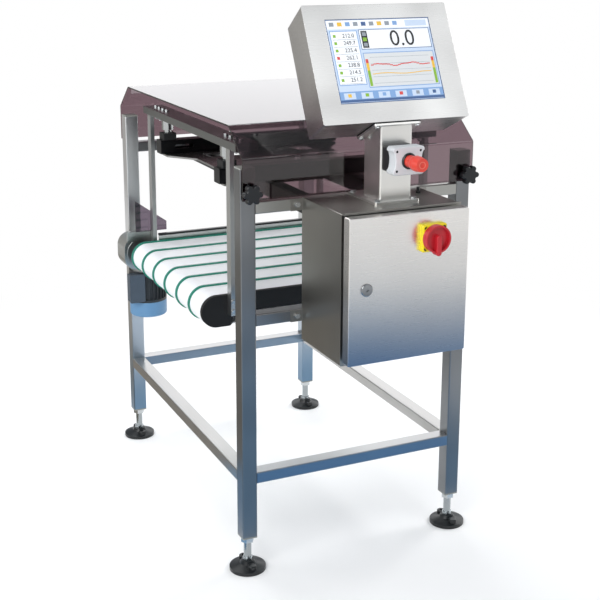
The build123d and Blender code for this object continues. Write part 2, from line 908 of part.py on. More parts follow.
# Motor: finned housing between two end shields, with a flat seat for the terminal box.
box_top_z = motor_top_z - box_drop
box_z = box_top_z - box_height / 2
box_x = motor_x - box_offset
with BuildPart() as motor:
    with BuildSketch(level(motor_bottom_z)):
        with Locations((motor_x, motor_y)):
            Circle(motor_radius)
            with PolarLocations(motor_radius + fin_height / 2 - 1, fin_count):
                Rectangle(fin_height + 2, fin_width)
    extrude(amount=motor_height)
    with BuildSketch(level(motor_bottom_z)):
        with Locations((motor_x, motor_y)):
            Circle(motor_radius + fin_height)
    extrude(amount=motor_end_height)
    with BuildSketch(level(motor_top_z - motor_end_height)):
        with Locations((motor_x, motor_y)):
            Circle(motor_radius + fin_height)
    extrude(amount=motor_end_height)
    with BuildSketch(upright(motor_y - box_root)):
        with Locations((box_x, box_z)):
            Rectangle(box_width, box_height)
    extrude(amount=box_reach - box_root, mode=Mode.SUBTRACT)
    with BuildSketch(level(motor_bottom_z)):
        with Locations((motor_x, motor_y)):
            Circle(rotor_radius + running_gap)
    extrude(amount=rotor_depth, mode=Mode.SUBTRACT)
motor.part.label = "motor"
export_step(motor.part, "parts/motor.step")

with BuildPart() as terminal_box:
    with BuildSketch(upright(motor_y - box_root)):
        with Locations((box_x, box_z)):
            Rectangle(box_width, box_height)
    extrude(amount=box_reach - box_root - box_lid)
    with BuildSketch(upright(motor_y - box_reach + box_lid)):
        with Locations((box_x, box_z)):
            RectangleRounded(
                box_width + 2 * box_lid_overhang, box_height + 2 * box_lid_overhang, box_corner
            )
    extrude(amount=box_lid)
terminal_box.part.label = "terminal_box"
export_step(terminal_box.part, "parts/terminal_box.step")

with BuildPart() as fan_cover:
    with BuildSketch(level(motor_bottom_z)):
        with Locations((motor_x, motor_y)):
            Circle(fan_cover_radius)
    extrude(amount=-fan_cover_height)
    rim = fan_cover.edges().filter_by(GeomType.CIRCLE).sort_by(Axis.Z)[0]
    fillet(rim, radius=fan_cover_rim)
    with BuildSketch(level(motor_bottom_z)):
        with Locations((motor_x, motor_y)):
            Circle(fan_cover_radius - fan_cover_wall)
    extrude(amount=fan_cover_wall + fan_cover_rim - fan_cover_height, mode=Mode.SUBTRACT)
    with BuildSketch(level(fan_cover_bottom_z)):
        with Locations((motor_x, motor_y)):
            with PolarLocations((fan_radius + fan_hub_radius) / 2, fan_slot_count):
                Rectangle(fan_radius - fan_hub_radius, fan_slot_width)
    extrude(amount=fan_cover_wall + fan_cover_rim, mode=Mode.SUBTRACT)
fan_cover.part.label = "fan_cover"
export_step(fan_cover.part, "parts/fan_cover.step")

# Rotor shaft with the cooling fan that turns under the cover.
fan_top_z = motor_bottom_z - fan_clearance
with BuildPart() as motor_fan:
    with BuildSketch(level(fan_top_z)):
        with Locations((motor_x, motor_y)):
            Circle(fan_hub_radius)
            with PolarLocations((fan_radius + fan_hub_radius) / 2 - 1, fan_blades):
                Rectangle(fan_radius - fan_hub_radius + 2, fan_blade_thickness)
    extrude(amount=-fan_blade_height)
    with BuildSketch(level(fan_top_z)):
        with Locations((motor_x, motor_y)):
            Circle(rotor_radius)
    extrude(amount=rotor_depth)
motor_fan.part.label = "motor_fan"
export_step(motor_fan.part, "parts/motor_fan.step")

# Weigh frame: load cell, carrier plate, tubes, buffers, standoffs, bars and hanger posts
pad_places = [(sx * pad_x, sy * weigh_tube_y) for sx in (-1, 1) for sy in (-1, 1)]
row_places = [
    (sx * crossbar_x, sy * (weigh_tube_y + n * row_bolt_pitch))
    for sx in (-1, 1) for sy in (-1, 1) for n in range(row_bolts)
]
post_places = [(sx * post_x, sy * post_y) for sx in (-1, 1) for sy in (-1, 1)]
post_inner_x = crossbar_outer_x - post_thickness
cell_bottom_z = beam_bottom_z + cell_spacer
cell_top_z = plate_bottom_z - cell_spacer

with BuildPart() as crossbars:
    with BuildSketch(level(crossbar_bottom_z)):
        with Locations((-crossbar_x, 0), (crossbar_x, 0)):
            Rectangle(crossbar_width, 2 * crossbar_half_length)
        with Locations(*row_places):
            Circle(bolt_radius + bolt_hole_gap, mode=Mode.SUBTRACT)
    extrude(amount=crossbar_height)
crossbars.part.label = "crossbars"
export_step(crossbars.part, "parts/crossbars.step")

with BuildPart() as hanger_posts:
    with BuildSketch(level(post_bottom_z)):
        with Locations(*post_places):
            Rectangle(post_thickness, post_width)
    extrude(amount=crossbar_bottom_z - post_bottom_z)
    with BuildSketch(level(crossbar_bottom_z)):
        post_foot_x = post_inner_x - post_foot_length / 2
        with Locations(*[(sx * post_foot_x, sy * post_y) for sx in (-1, 1) for sy in (-1, 1)]):
            Rectangle(post_foot_length, post_foot_width)
        with Locations(*row_places):
            Circle(bolt_radius + bolt_hole_gap, mode=Mode.SUBTRACT)
    extrude(amount=-post_foot_thickness)
    for sy in (-1, 1):
        with BuildSketch(upright(sy * post_back_y)):
            with Locations(*[(sx * post_x, z) for sx in (-1, 1) for z in post_bolt_levels]):
                Circle(post_bolt_radius + bolt_hole_gap)
        extrude(amount=sy * post_width, mode=Mode.SUBTRACT)
hanger_posts.part.label = "hanger_posts"
export_step(hanger_posts.part, "parts/hanger_posts.step")

with BuildPart() as standoffs:
    with BuildSketch(level(crossbar_bottom_z)):
        with Locations(*pad_places):
            Circle(standoff_radius)
    extrude(amount=standoff_neck - standoff_height)
    with BuildSketch(level(crossbar_bottom_z - standoff_height)):
        with Locations(*pad_places):
            Circle(standoff_neck_radius)
    extrude(amount=standoff_neck)
    with BuildSketch(level(crossbar_bottom_z)):
        with Locations(*pad_places):
            Circle(bolt_radius + running_gap)
    extrude(amount=crossbar_height - row_bolt_length, mode=Mode.SUBTRACT)
standoffs.part.label = "standoffs"
export_step(standoffs.part, "parts/standoffs.step")

with BuildPart() as buffer_pads:
    with BuildSketch(level(weigh_tube_z + tube_side / 2)):
        with Locations(*pad_places):
            Rectangle(pad_side, pad_side)
    extrude(amount=pad_height)
    fillet(buffer_pads.edges().filter_by(Axis.Z), radius=tube_corner)
buffer_pads.part.label = "buffer_pads"
export_step(buffer_pads.part, "parts/buffer_pads.step")

with BuildPart() as weigh_tubes:
    with BuildSketch(across(-weigh_tube_half)):
        with Locations((-weigh_tube_y, weigh_tube_z), (weigh_tube_y, weigh_tube_z)):
            hollow_section(tube_side, tube_side, tube_wall, tube_corner)
    extrude(amount=2 * weigh_tube_half)
    for sx in (-1, 1):
        with BuildSketch(across(sx * weigh_tube_half)):
            with Locations((-weigh_tube_y, weigh_tube_z), (weigh_tube_y, weigh_tube_z)):
                RectangleRounded(tube_side, tube_side, tube_corner)
        extrude(amount=-sx * weigh_tube_cap)
    with BuildSketch(upright(weigh_tube_y + tube_side)):
        with Locations((-weigh_tube_slot_x, weigh_tube_z), (weigh_tube_slot_x, weigh_tube_z)):
            SlotOverall(weigh_tube_slot, weigh_tube_slot_width)
    extrude(amount=2 * (weigh_tube_y + tube_side), mode=Mode.SUBTRACT)
    with BuildSketch(level(weigh_tube_bottom_z)):
        with Locations(*pad_places):
            Circle(bolt_radius + bolt_hole_gap)
    extrude(amount=tube_wall, mode=Mode.SUBTRACT)
weigh_tubes.part.label = "weigh_tubes"
export_step(weigh_tubes.part, "parts/weigh_tubes.step")

with BuildPart() as carrier_plate:
    with BuildSketch(level(plate_bottom_z)):
        with BuildLine():
            Polyline(
                (0, plate_edge_y),
                (plate_wing_x, plate_edge_y),
                (plate_wing_x, plate_shoulder_y),
                (plate_waist_x, plate_waist_y),
                (plate_waist_x, 0),
            )
            mirror(about=Plane.YZ)
            mirror(about=Plane.XZ)
        make_face()
        with Locations(*[
            (sx * plate_window_x, sy * plate_window_y) for sx in (-1, 1) for sy in (-1, 1)
        ]):
            RectangleRounded(
                plate_window_width, plate_window_depth, plate_window_corner, mode=Mode.SUBTRACT
            )
        with Locations(*pad_places, *cell_bolt_places):
            Circle(bolt_radius + bolt_hole_gap, mode=Mode.SUBTRACT)
    extrude(amount=plate_thickness)
carrier_plate.part.label = "carrier_plate"
export_step(carrier_plate.part, "parts/carrier_plate.step")

# Load cell: a bar with the two joined bores of a binocular cell, stepped at both ends.
with BuildPart() as load_cell:
    with BuildSketch(upright(cell_width / 2)):
        with Locations((0, (cell_bottom_z + cell_top_z) / 2)):
            Rectangle(cell_length, cell_top_z - cell_bottom_z)
            Rectangle(cell_bore_pitch, cell_slit, mode=Mode.SUBTRACT)
            with GridLocations(cell_bore_pitch, 0, 2, 1):
                Circle(cell_bore_radius, mode=Mode.SUBTRACT)
        with Locations((-cell_end_x, beam_bottom_z + cell_spacer / 2)):
            Rectangle(cell_spacer_length, cell_spacer)
        with Locations((cell_end_x, plate_bottom_z - cell_spacer / 2)):
            Rectangle(cell_spacer_length, cell_spacer)
    extrude(amount=cell_width)
    with BuildSketch(level(plate_bottom_z)):
        with Locations(*cell_bolt_places):
            Circle(bolt_radius + running_gap)
    extrude(amount=plate_thickness - cell_bolt_length, mode=Mode.SUBTRACT)
    with BuildSketch(level(beam_bottom_z)):
        with Locations(*[(-x, y) for x, y in cell_bolt_places]):
            Circle(bolt_radius + running_gap)
    extrude(amount=cell_bolt_length - base_thickness, mode=Mode.SUBTRACT)
load_cell.part.label = "load_cell"
export_step(load_cell.part, "parts/load_cell.step")

# Control cabinet. The door seal sits on the rim around the front opening.
cabinet_height = cabinet_top_z - cabinet_bottom_z
cabinet_mid_z = (cabinet_bottom_z + cabinet_top_z) / 2
door_height = door_top_z - door_bottom_z
door_mid_z = (door_bottom_z + door_top_z) / 2
seal_band = gasket_inset + gasket_width + gasket_margin
opening_width = cabinet_width - 2 * seal_band
opening_height = door_height - 2 * seal_band
lug_levels = [upper_rail_top_z - rail_height / 2, middle_rail_top_z - rail_height / 2]
lug_places = [(sx * lug_x, z) for sx in (-1, 1) for z in lug_levels]
panel_width = cabinet_width - 2 * panel_margin
panel_bottom_z = cabinet_bottom_z + panel_margin
panel_height = cabinet_top_z - panel_top_margin - panel_bottom_z
panel_mid_z = panel_bottom_z + panel_height / 2
panel_stud_x = panel_width / 2 - bolt_head_radius
panel_stud_z = panel_height / 2 - bolt_head_radius
panel_places = [
    (sx * panel_stud_x, panel_mid_z + sz * panel_stud_z) for sx in (-1, 1) for sz in (-1, 1)
]
foot_plate_front_y = column_front_y - foot_plate_front
foot_plate_y = foot_plate_front_y + foot_plate_depth / 2
foot_bolt_x = foot_plate_width / 2 - foot_plate_bolt_inset
foot_bolt_y = foot_plate_depth / 2 - foot_plate_bolt_inset
foot_bolt_places = [
    (pedestal_x + sx * foot_bolt_x, foot_plate_y + sy * foot_bolt_y)
    for sx in (-1, 1) for sy in (-1, 1)
]
lower_gland_places = [
    (lower_gland_first_x + n * lower_gland_pitch, lower_gland_y)
    for n in range(lower_gland_count)
]

with BuildPart() as cabinet_body:
    with BuildSketch(upright(cabinet_front_y)):
        with Locations((0, cabinet_mid_z)):
            RectangleRounded(cabinet_width, cabinet_height, cabinet_corner)
    extrude(amount=-cabinet_depth)
    with BuildSketch(upright(cabinet_front_y + cabinet_wall)):
        with Locations((0, cabinet_mid_z)):
            Rectangle(cabinet_width - 2 * cabinet_wall, cabinet_height - 2 * cabinet_wall)
    extrude(amount=2 * cabinet_wall - cabinet_depth, mode=Mode.SUBTRACT)
    with BuildSketch(upright(cabinet_front_y)):
        with Locations((0, door_mid_z)):
            RectangleRounded(opening_width, opening_height, opening_corner)
    extrude(amount=-cabinet_wall, mode=Mode.SUBTRACT)
    with BuildSketch(across(-cabinet_half + cabinet_corner)):
        with Locations((cabinet_front_y, cabinet_top_z)):
            Rectangle(roof_overhang, cabinet_wall, align=(Align.MAX, Align.MAX))
        with Locations((cabinet_front_y - roof_overhang, cabinet_top_z - cabinet_wall)):
            Rectangle(cabinet_wall, cabinet_wall + roof_edge, align=(Align.MIN, Align.MIN))
    extrude(amount=cabinet_width - 2 * cabinet_corner)
    with BuildSketch(upright(cabinet_back_y)):
        with Locations(*lug_places):
            Rectangle(lug_reach + 2 * cabinet_corner, lug_height)
            Circle(bolt_radius + bolt_hole_gap, mode=Mode.SUBTRACT)
        with Locations((0, cabinet_mid_z)):
            Rectangle(
                cabinet_width - 2 * cabinet_wall, cabinet_height - 2 * cabinet_wall,
                mode=Mode.SUBTRACT,
            )
    extrude(amount=lug_thickness)
    with BuildSketch(upright(cabinet_back_y - cabinet_wall)):
        with Locations(*panel_places):
            Circle(panel_stud_radius)
            Circle(post_bolt_radius + running_gap, mode=Mode.SUBTRACT)
    extrude(amount=panel_offset)
    with BuildSketch(level(cabinet_top_z)):
        with Locations(*foot_bolt_places):
            Circle(bolt_radius + bolt_hole_gap)
        with Locations((pedestal_x, pedestal_y)):
            Circle(cable_way_radius)
        with Locations((gland_x, gland_y)):
            Circle(plug_screw_radius)
    extrude(amount=-cabinet_wall, mode=Mode.SUBTRACT)
    with BuildSketch(level(cabinet_bottom_z)):
        with Locations(*lower_gland_places):
            Circle(gland_radius)
    extrude(amount=cabinet_wall, mode=Mode.SUBTRACT)
cabinet_body.part.label = "cabinet_body"
export_step(cabinet_body.part, "parts/cabinet_body.step")

# Door: a folded tray with a return rim and the moving hinge knuckles.
hinge_levels = [
    door_bottom_z + hinge_end_offset + knuckle_height / 2,
    door_top_z - hinge_end_offset - knuckle_height / 2,
]
with BuildPart() as cabinet_door:
    with BuildSketch(upright(door_front_y)):
        with Locations((0, door_mid_z)):
            RectangleRounded(cabinet_width, door_height, door_edge_radius)
    extrude(amount=-door_thickness)
    front_edges = cabinet_door.faces().sort_by(Axis.Y)[0].edges()
    fillet(front_edges, radius=door_edge_radius / 2)
    with BuildSketch(upright(door_front_y + door_sheet)):
        with Locations((0, door_mid_z)):
            RectangleRounded(
                cabinet_width - 2 * door_sheet, door_height - 2 * door_sheet, door_edge_radius
            )
    extrude(amount=2 * door_sheet - door_thickness, mode=Mode.SUBTRACT)
    with BuildSketch(upright(door_back_y)):
        with Locations((0, door_mid_z)):
            RectangleRounded(opening_width, opening_height, opening_corner)
    extrude(amount=door_sheet, mode=Mode.SUBTRACT)
    with BuildSketch(upright(door_front_y)):
        with Locations((isolator_x, isolator_z)):
            Circle(handle_hub_radius + running_gap)
        with Locations((lock_x, lock_z)):
            Circle(lock_barrel_radius + running_gap)
    extrude(amount=-door_sheet, mode=Mode.SUBTRACT)
    for z in hinge_levels:
        with BuildSketch(level(z - knuckle_height / 2)):
            with Locations((hinge_x, hinge_y)):
                Circle(knuckle_radius)
                Rectangle(
                    2 * knuckle_radius, hinge_y - door_back_y, align=(Align.CENTER, Align.MAX)
                )
                Circle(hinge_pin_radius + running_gap, mode=Mode.SUBTRACT)
        extrude(amount=knuckle_height)
cabinet_door.part.label = "cabinet_door"
export_step(cabinet_door.part, "parts/cabinet_door.step")

# Fixed half of each hinge: two lugs on the cabinet rim and the pin between them.
with BuildPart() as door_hinges:
    for z in hinge_levels:
        for sz in (-1, 1):
            with BuildSketch(level(z + sz * (knuckle_height / 2 + seat_gap))):
                with Locations((hinge_x, hinge_y)):
                    Circle(knuckle_radius)
                    Rectangle(
                        2 * knuckle_radius, cabinet_front_y - hinge_y,
                        align=(Align.CENTER, Align.MIN),
                    )
            extrude(amount=sz * hinge_lug)
        with BuildSketch(level(z - knuckle_height / 2 - seat_gap)):
            with Locations((hinge_x, hinge_y)):
                Circle(hinge_pin_radius)
        extrude(amount=knuckle_height + 2 * seat_gap)
door_hinges.part.label = "door_hinges"
export_step(door_hinges.part, "parts/door_hinges.step")

# Quarter-turn lock; its cam hangs down when unlocked and turns behind the cabinet rim.
cam_front_y = cabinet_front_y + cabinet_wall + lock_cam_gap
with BuildPart() as door_lock:
    with BuildSketch(upright(door_front_y)):
        with Locations((lock_x, lock_z)):
            Circle(lock_head_radius)
    extrude(amount=lock_head)
    rim = door_lock.edges().filter_by(GeomType.CIRCLE).sort_by(Axis.Y)[0]
    fillet(rim, radius=lock_head / 2)
    with BuildSketch(upright(door_front_y)):
        with Locations((lock_x, lock_z)):
            Circle(lock_barrel_radius)
    extrude(amount=-door_thickness)
    with BuildSketch(upright(door_back_y)):
        with Locations((lock_x, lock_z)):
            Circle(lock_shaft_radius)
    extrude(amount=door_back_y - cam_front_y)
    with BuildSketch(upright(cam_front_y)):
        with Locations((lock_x, lock_z)):
            Circle(lock_cam_width / 2)
            Rectangle(lock_cam_width, lock_cam_reach, align=(Align.CENTER, Align.MAX))
    extrude(amount=-lock_cam)
    with BuildSketch(upright(door_front_y - lock_head)):
        with Locations((lock_x, lock_z)):
            RegularPolygon(lock_key_radius, 3)
    extrude(amount=-lock_key_depth, mode=Mode.SUBTRACT)
door_lock.part.label = "door_lock"
export_step(door_lock.part, "parts/door_lock.step")

with BuildPart() as mounting_plate:
    with BuildSketch(upright(panel_y)):
        with Locations((0, panel_mid_z)):
            Rectangle(panel_width, panel_height)
        with Locations(*panel_places):
            Circle(post_bolt_radius + bolt_hole_gap, mode=Mode.SUBTRACT)
    extrude(amount=-panel_thickness)
mounting_plate.part.label = "mounting_plate"
export_step(mounting_plate.part, "parts/mounting_plate.step")


def panel_box(x, z, width, height, depth):
    """Housing of one device, standing on the front of the mounting plate."""
    with BuildPart() as box:
        with BuildSketch(upright(panel_y)):
            with Locations((x, z)):
                Rectangle(width, height)
        extrude(amount=depth)
    return box


drive_unit = panel_box(drive_x, drive_z, drive_width, drive_height, drive_depth)
supply_unit = panel_box(supply_x, supply_z, supply_width, supply_height, supply_depth)
relays = [
    panel_box(relay_first_x + n * relay_pitch, relay_z, relay_width, relay_height, relay_depth)
    for n in range(relay_count)
]
with BuildPart() as vented_drive:
    add(drive_unit.part)
    with BuildSketch(upright(panel_y - drive_depth)):
        with Locations((drive_x, drive_z)):
            with GridLocations(0, vent_pitch, 1, vent_count):
                Rectangle(drive_width - 2 * vent_depth, vent_width)
    extrude(amount=-vent_depth, mode=Mode.SUBTRACT)
handle_hub_y = door_front_y + door_sheet + handle_hub_end
switch_shaft_length = panel_y - switch_depth - handle_hub_y - switch_shaft_end_gap
with BuildPart() as main_switch:
    add(panel_box(isolator_x, isolator_z, switch_side, switch_side, switch_depth).part)
    with BuildSketch(upright(panel_y - switch_depth)):
        with Locations((isolator_x, isolator_z)):
            Rectangle(switch_shaft_side, switch_shaft_side)
    extrude(amount=switch_shaft_length)
devices = [vented_drive, supply_unit, main_switch, *relays]
control_gear = Compound(label="control_gear", children=[device.part for device in devices])
export_step(control_gear, "parts/control_gear.step")


def gland(x, y, z, up):
    """Cable gland: hexagon seat, dome and a threaded neck through the sheet."""
    with BuildPart() as fitting:
        with BuildSketch(level(z)):
            with Locations((x, y)):
                RegularPolygon(gland_nut_radius, 6)
        extrude(amount=up * gland_nut)
        with BuildSketch(level(z)):
            with Locations((x, y)):
                Circle(gland_radius)
        extrude(amount=up * gland_height)
        dome = fitting.edges().filter_by(GeomType.CIRCLE).sort_by(Axis.Z)[-1 if up > 0 else 0]
        fillet(dome, radius=gland_radius / 2)
        with BuildSketch(level(z)):
            with Locations((x, y)):
                Circle(gland_radius)
        extrude(amount=-up * (cabinet_wall + gland_nut))
    return fitting


with BuildPart() as plug_screw:
    with BuildSketch(level(cabinet_top_z)):
        with Locations((gland_x, gland_y)):
            RegularPolygon(plug_screw_seat_radius, 6)
    extrude(amount=gland_nut)
    with BuildSketch(level(cabinet_top_z - cabinet_wall)):
        with Locations((gland_x, gland_y)):
            Circle(plug_screw_radius)
    extrude(amount=cabinet_wall + plug_screw_height)
glands = [plug_screw]
for x, y in lower_gland_places:
    glands.append(gland(x, y, cabinet_bottom_z, -1))
cable_glands = Compound(label="cable_glands", children=[fitting.part for fitting in glands])
export_step(cable_glands, "parts/cable_glands.step")

# Isolator: a chamfered plate on the door, and a red handle that turns on it.
plate_front_y = door_front_y - isolator_thickness
with BuildPart() as isolator_plate:
    with BuildSketch(upright(door_front_y)):
        with Locations((isolator_x, isolator_z)):
            RectangleRounded(isolator_side, isolator_side, isolator_corner)
    extrude(amount=isolator_thickness)
    chamfer(isolator_plate.faces().sort_by(Axis.Y)[0].edges(), length=isolator_slope)
    with BuildSketch(upright(plate_front_y)):
        with Locations((isolator_x, isolator_z)):
            Circle(handle_hub_radius + running_gap)
    extrude(amount=-isolator_thickness, mode=Mode.SUBTRACT)
    with BuildSketch(upright(plate_front_y)):
        with Locations((isolator_x, isolator_z)):
            with PolarLocations(isolator_slot_reach, 4, start_angle=45):
                SlotOverall(isolator_slot_length, isolator_slot_width, rotation=90)
    extrude(amount=-isolator_slot_depth, mode=Mode.SUBTRACT)
isolator_plate.part.label = "isolator_plate"
export_step(isolator_plate.part, "parts/isolator_plate.step")

handle_back_y = plate_front_y - seat_gap
with BuildPart() as isolator_handle:
    with BuildSketch(upright(handle_back_y)):
        with Locations((isolator_x, isolator_z)):
            Circle(handle_radius)
    extrude(amount=handle_base)
    with BuildSketch(upright(handle_back_y - handle_base)):
        with Locations((isolator_x, isolator_z)):
            Circle(handle_radius - handle_rim)
    extrude(amount=-handle_recess, mode=Mode.SUBTRACT)
    with BuildSketch(upright(handle_back_y)):
        with Locations((isolator_x, isolator_z + (handle_grip_top - handle_grip_bottom) / 2)):
            SlotOverall(handle_grip_top + handle_grip_bottom, handle_grip_width, rotation=90)
    extrude(amount=handle_base + handle_grip)
    grip_end = isolator_handle.faces().sort_by(Axis.Y)[0].edges()
    fillet(grip_end, radius=handle_grip_round)
    with BuildSketch(upright(handle_back_y)):
        with Locations((isolator_x, isolator_z)):
            Circle(handle_hub_radius)
    extrude(amount=handle_back_y - handle_hub_y)
isolator_handle.part.label = "isolator_handle"
export_step(isolator_handle.part, "parts/isolator_handle.step")

# Planes of the terminal: face looks out of the tilted front, seat lies on its underside
# with the second axis running to the rear, rear looks out of the back.
face = Plane(origin=(pedestal_x, terminal_face_y, terminal_face_z)).rotated((
    90 - terminal_tilt, 0, 0,
))
seat = Plane(origin=face.from_local_coords((0, -terminal_face_height / 2, 0)),
             x_dir=(1, 0, 0), z_dir=face.y_dir)
rear = face.offset(-terminal_depth)
flange_top = seat.offset(-top_gasket)
flange_y = top_flange_front + top_flange_depth / 2
top_bolt_x = top_flange_width / 2 - top_flange_bolt_inset
top_bolt_y = top_flange_depth / 2 - top_flange_bolt_inset
top_bolt_places = [
    (sx * top_bolt_x, flange_y + sy * top_bolt_y) for sx in (-1, 1) for sy in (-1, 1)
]
column_z = cabinet_top_z + foot_plate_thickness

with BuildPart() as pedestal:
    with BuildSketch(level(column_z)):
        with Locations((pedestal_x, pedestal_y)):
            RectangleRounded(column_side, column_side, column_corner)
            RectangleRounded(
                column_side - 2 * column_wall, column_side - 2 * column_wall,
                column_corner - column_wall, mode=Mode.SUBTRACT,
            )
    extrude(amount=column_spare)
    split(bisect_by=flange_top.offset(-top_flange_thickness), keep=Keep.BOTTOM)
    with BuildSketch(flange_top):
        with Locations((0, flange_y)):
            RectangleRounded(top_flange_width, top_flange_depth, top_flange_corner)
            Circle(cable_way_radius, mode=Mode.SUBTRACT)
        with Locations(*top_bolt_places):
            Circle(post_bolt_radius + bolt_hole_gap, mode=Mode.SUBTRACT)
    extrude(amount=-top_flange_thickness)
    with BuildSketch(level(cabinet_top_z)):
        with Locations((pedestal_x, foot_plate_y)):
            RectangleRounded(foot_plate_width, foot_plate_depth, top_flange_corner)
        with Locations((pedestal_x, pedestal_y)):
            Circle(cable_way_radius, mode=Mode.SUBTRACT)
        with Locations(*foot_bolt_places):
            Circle(bolt_radius + bolt_hole_gap, mode=Mode.SUBTRACT)
    extrude(amount=foot_plate_thickness)
pedestal.part.label = "pedestal"
export_step(pedestal.part, "parts/pedestal.step")

# Seals: a frame for the door and a flat gasket under the terminal.
seal_width = cabinet_width - 2 * gasket_inset
seal_height = door_height - 2 * gasket_inset
with BuildPart() as door_seal:
    with BuildSketch(upright(cabinet_front_y)):
        with Locations((0, door_mid_z)):
            RectangleRounded(seal_width, seal_height, opening_corner + gasket_width)
            RectangleRounded(
                seal_width - 2 * gasket_width, seal_height - 2 * gasket_width,
                opening_corner, mode=Mode.SUBTRACT,
            )
    extrude(amount=door_gap - seat_gap)
with BuildPart() as terminal_seal:
    with BuildSketch(flange_top):
        with Locations((0, flange_y)):
            RectangleRounded(top_flange_width, top_flange_depth, top_flange_corner)
            Circle(cable_way_radius, mode=Mode.SUBTRACT)
        with Locations(*top_bolt_places):
            Circle(post_bolt_radius + bolt_hole_gap, mode=Mode.SUBTRACT)
    extrude(amount=top_gasket)
gaskets = Compound(label="gaskets", children=[door_seal.part, terminal_seal.part])
export_step(gaskets, "parts/gaskets.step")

# Terminal housing: a folded box that narrows to the rear, with a window and a rear opening.
rear_width = terminal_face_width - 2 * terminal_taper_side
rear_height = terminal_face_height - terminal_taper_top
rear_y = -terminal_taper_top / 2
cover_screw_x = rear_width / 2 - rear_rim / 2
cover_screw_y = rear_height / 2 - rear_rim / 2
cover_screw_places = [
    (sx * cover_screw_x, rear_y + sy * cover_screw_y) for sx in (-1, 1) for sy in (-1, 1)
]
with BuildPart() as hmi_housing:
    with BuildSketch(face):
        RectangleRounded(terminal_face_width, terminal_face_height, terminal_edge_radius)
    with BuildSketch(rear):
        with Locations((0, rear_y)):
            RectangleRounded(rear_width, rear_height, terminal_edge_radius)
    loft()
    with BuildSketch(face.offset(-terminal_sheet)):
        Rectangle(
            terminal_face_width - 2 * terminal_sheet, terminal_face_height - 2 * terminal_sheet
        )
    with BuildSketch(rear.offset(terminal_sheet)):
        with Locations((0, rear_y)):
            Rectangle(rear_width - 2 * terminal_sheet, rear_height - 2 * terminal_sheet)
    loft(mode=Mode.SUBTRACT)
    with BuildSketch(face):
        with Locations((0, screen_up)):
            Rectangle(screen_width + 2 * screen_gap, screen_height + 2 * screen_gap)
    extrude(amount=-terminal_sheet, mode=Mode.SUBTRACT)
    with BuildSketch(rear):
        with Locations((0, rear_y)):
            Rectangle(rear_width - 2 * rear_rim, rear_height - 2 * rear_rim)
        with Locations(*cover_screw_places):
            Circle(post_bolt_radius + running_gap)
    extrude(amount=terminal_sheet, mode=Mode.SUBTRACT)
    with BuildSketch(seat):
        with Locations((0, flange_y)):
            Circle(cable_way_radius)
        with Locations(*top_bolt_places):
            Circle(post_bolt_radius + bolt_hole_gap)
    extrude(amount=terminal_sheet, mode=Mode.SUBTRACT)
hmi_housing.part.label = "hmi_housing"
export_step(hmi_housing.part, "parts/hmi_housing.step")

with BuildPart() as hmi_rear_cover:
    with BuildSketch(rear):
        with Locations((0, rear_y)):
            RectangleRounded(
                rear_width - 2 * rear_cover_inset, rear_height - 2 * rear_cover_inset,
                terminal_edge_radius,
            )
        with Locations(*cover_screw_places):
            Circle(post_bolt_radius + bolt_hole_gap, mode=Mode.SUBTRACT)
    extrude(amount=-rear_cover)
hmi_rear_cover.part.label = "hmi_rear_cover"
export_step(hmi_rear_cover.part, "parts/hmi_rear_cover.step")

with BuildPart() as hmi_screen:
    with BuildSketch(face.offset(-screen_recess)):
        with Locations((0, screen_up)):
            Rectangle(screen_width, screen_height)
    extrude(amount=screen_recess - terminal_sheet)
    with BuildSketch(face.offset(-terminal_sheet)):
        with Locations((0, screen_up)):
            Rectangle(screen_width + 2 * screen_frame, screen_height + 2 * screen_frame)
    extrude(amount=-screen_thickness)
hmi_screen.part.label = "hmi_screen"
export_step(hmi_screen.part, "parts/hmi_screen.step")

# Emergency stop on the front of the column
button_back_y = stop_face_y + stop_bore_depth - stop_travel - button_gap
stem_end_y = button_back_y + stop_stem_length
with BuildPart() as estop_base:
    with BuildSketch(upright(column_front_y)):
        with Locations((pedestal_x, stop_z)):
            RectangleRounded(stop_base_width, stop_base_height, stop_corner)
    extrude(amount=stop_base_depth)
    with BuildSketch(upright(stop_cover_y)):
        with Locations((pedestal_x, stop_z)):
            Circle(stop_stem_radius + running_gap)
    extrude(amount=stop_cover_y - stem_end_y - stop_travel - button_gap, mode=Mode.SUBTRACT)
estop_base.part.label = "estop_base"
export_step(estop_base.part, "parts/estop_base.step")

with BuildPart() as estop_cover:
    with BuildSketch(upright(stop_cover_y)):
        with Locations((pedestal_x, stop_z)):
            RectangleRounded(stop_width, stop_height, stop_corner)
            with GridLocations(stop_width, 0, 2, 1):
                Ellipse(stop_waist, stop_waist_height / 2, mode=Mode.SUBTRACT)
    extrude(amount=stop_cover_depth)
    chamfer(estop_cover.faces().sort_by(Axis.Y)[0].edges(), length=stop_face_rim / 2)
    with BuildSketch(upright(stop_face_y)):
        with Locations((pedestal_x, stop_z)):
            with GridLocations(2 * stop_screw_x, 2 * stop_screw_z, 2, 2):
                Circle(stop_screw_radius)
    extrude(amount=-stop_screw_depth, mode=Mode.SUBTRACT)
    with BuildSketch(upright(stop_face_y)):
        with Locations((pedestal_x, stop_z)):
            Circle(button_neck_radius + collar_gap)
    extrude(amount=-stop_bore_depth, mode=Mode.SUBTRACT)
    with BuildSketch(upright(stop_face_y)):
        with Locations((pedestal_x, stop_z)):
            Circle(stop_stem_radius + running_gap)
    extrude(amount=-stop_cover_depth, mode=Mode.SUBTRACT)
estop_cover.part.label = "estop_cover"
export_step(estop_cover.part, "parts/estop_cover.step")

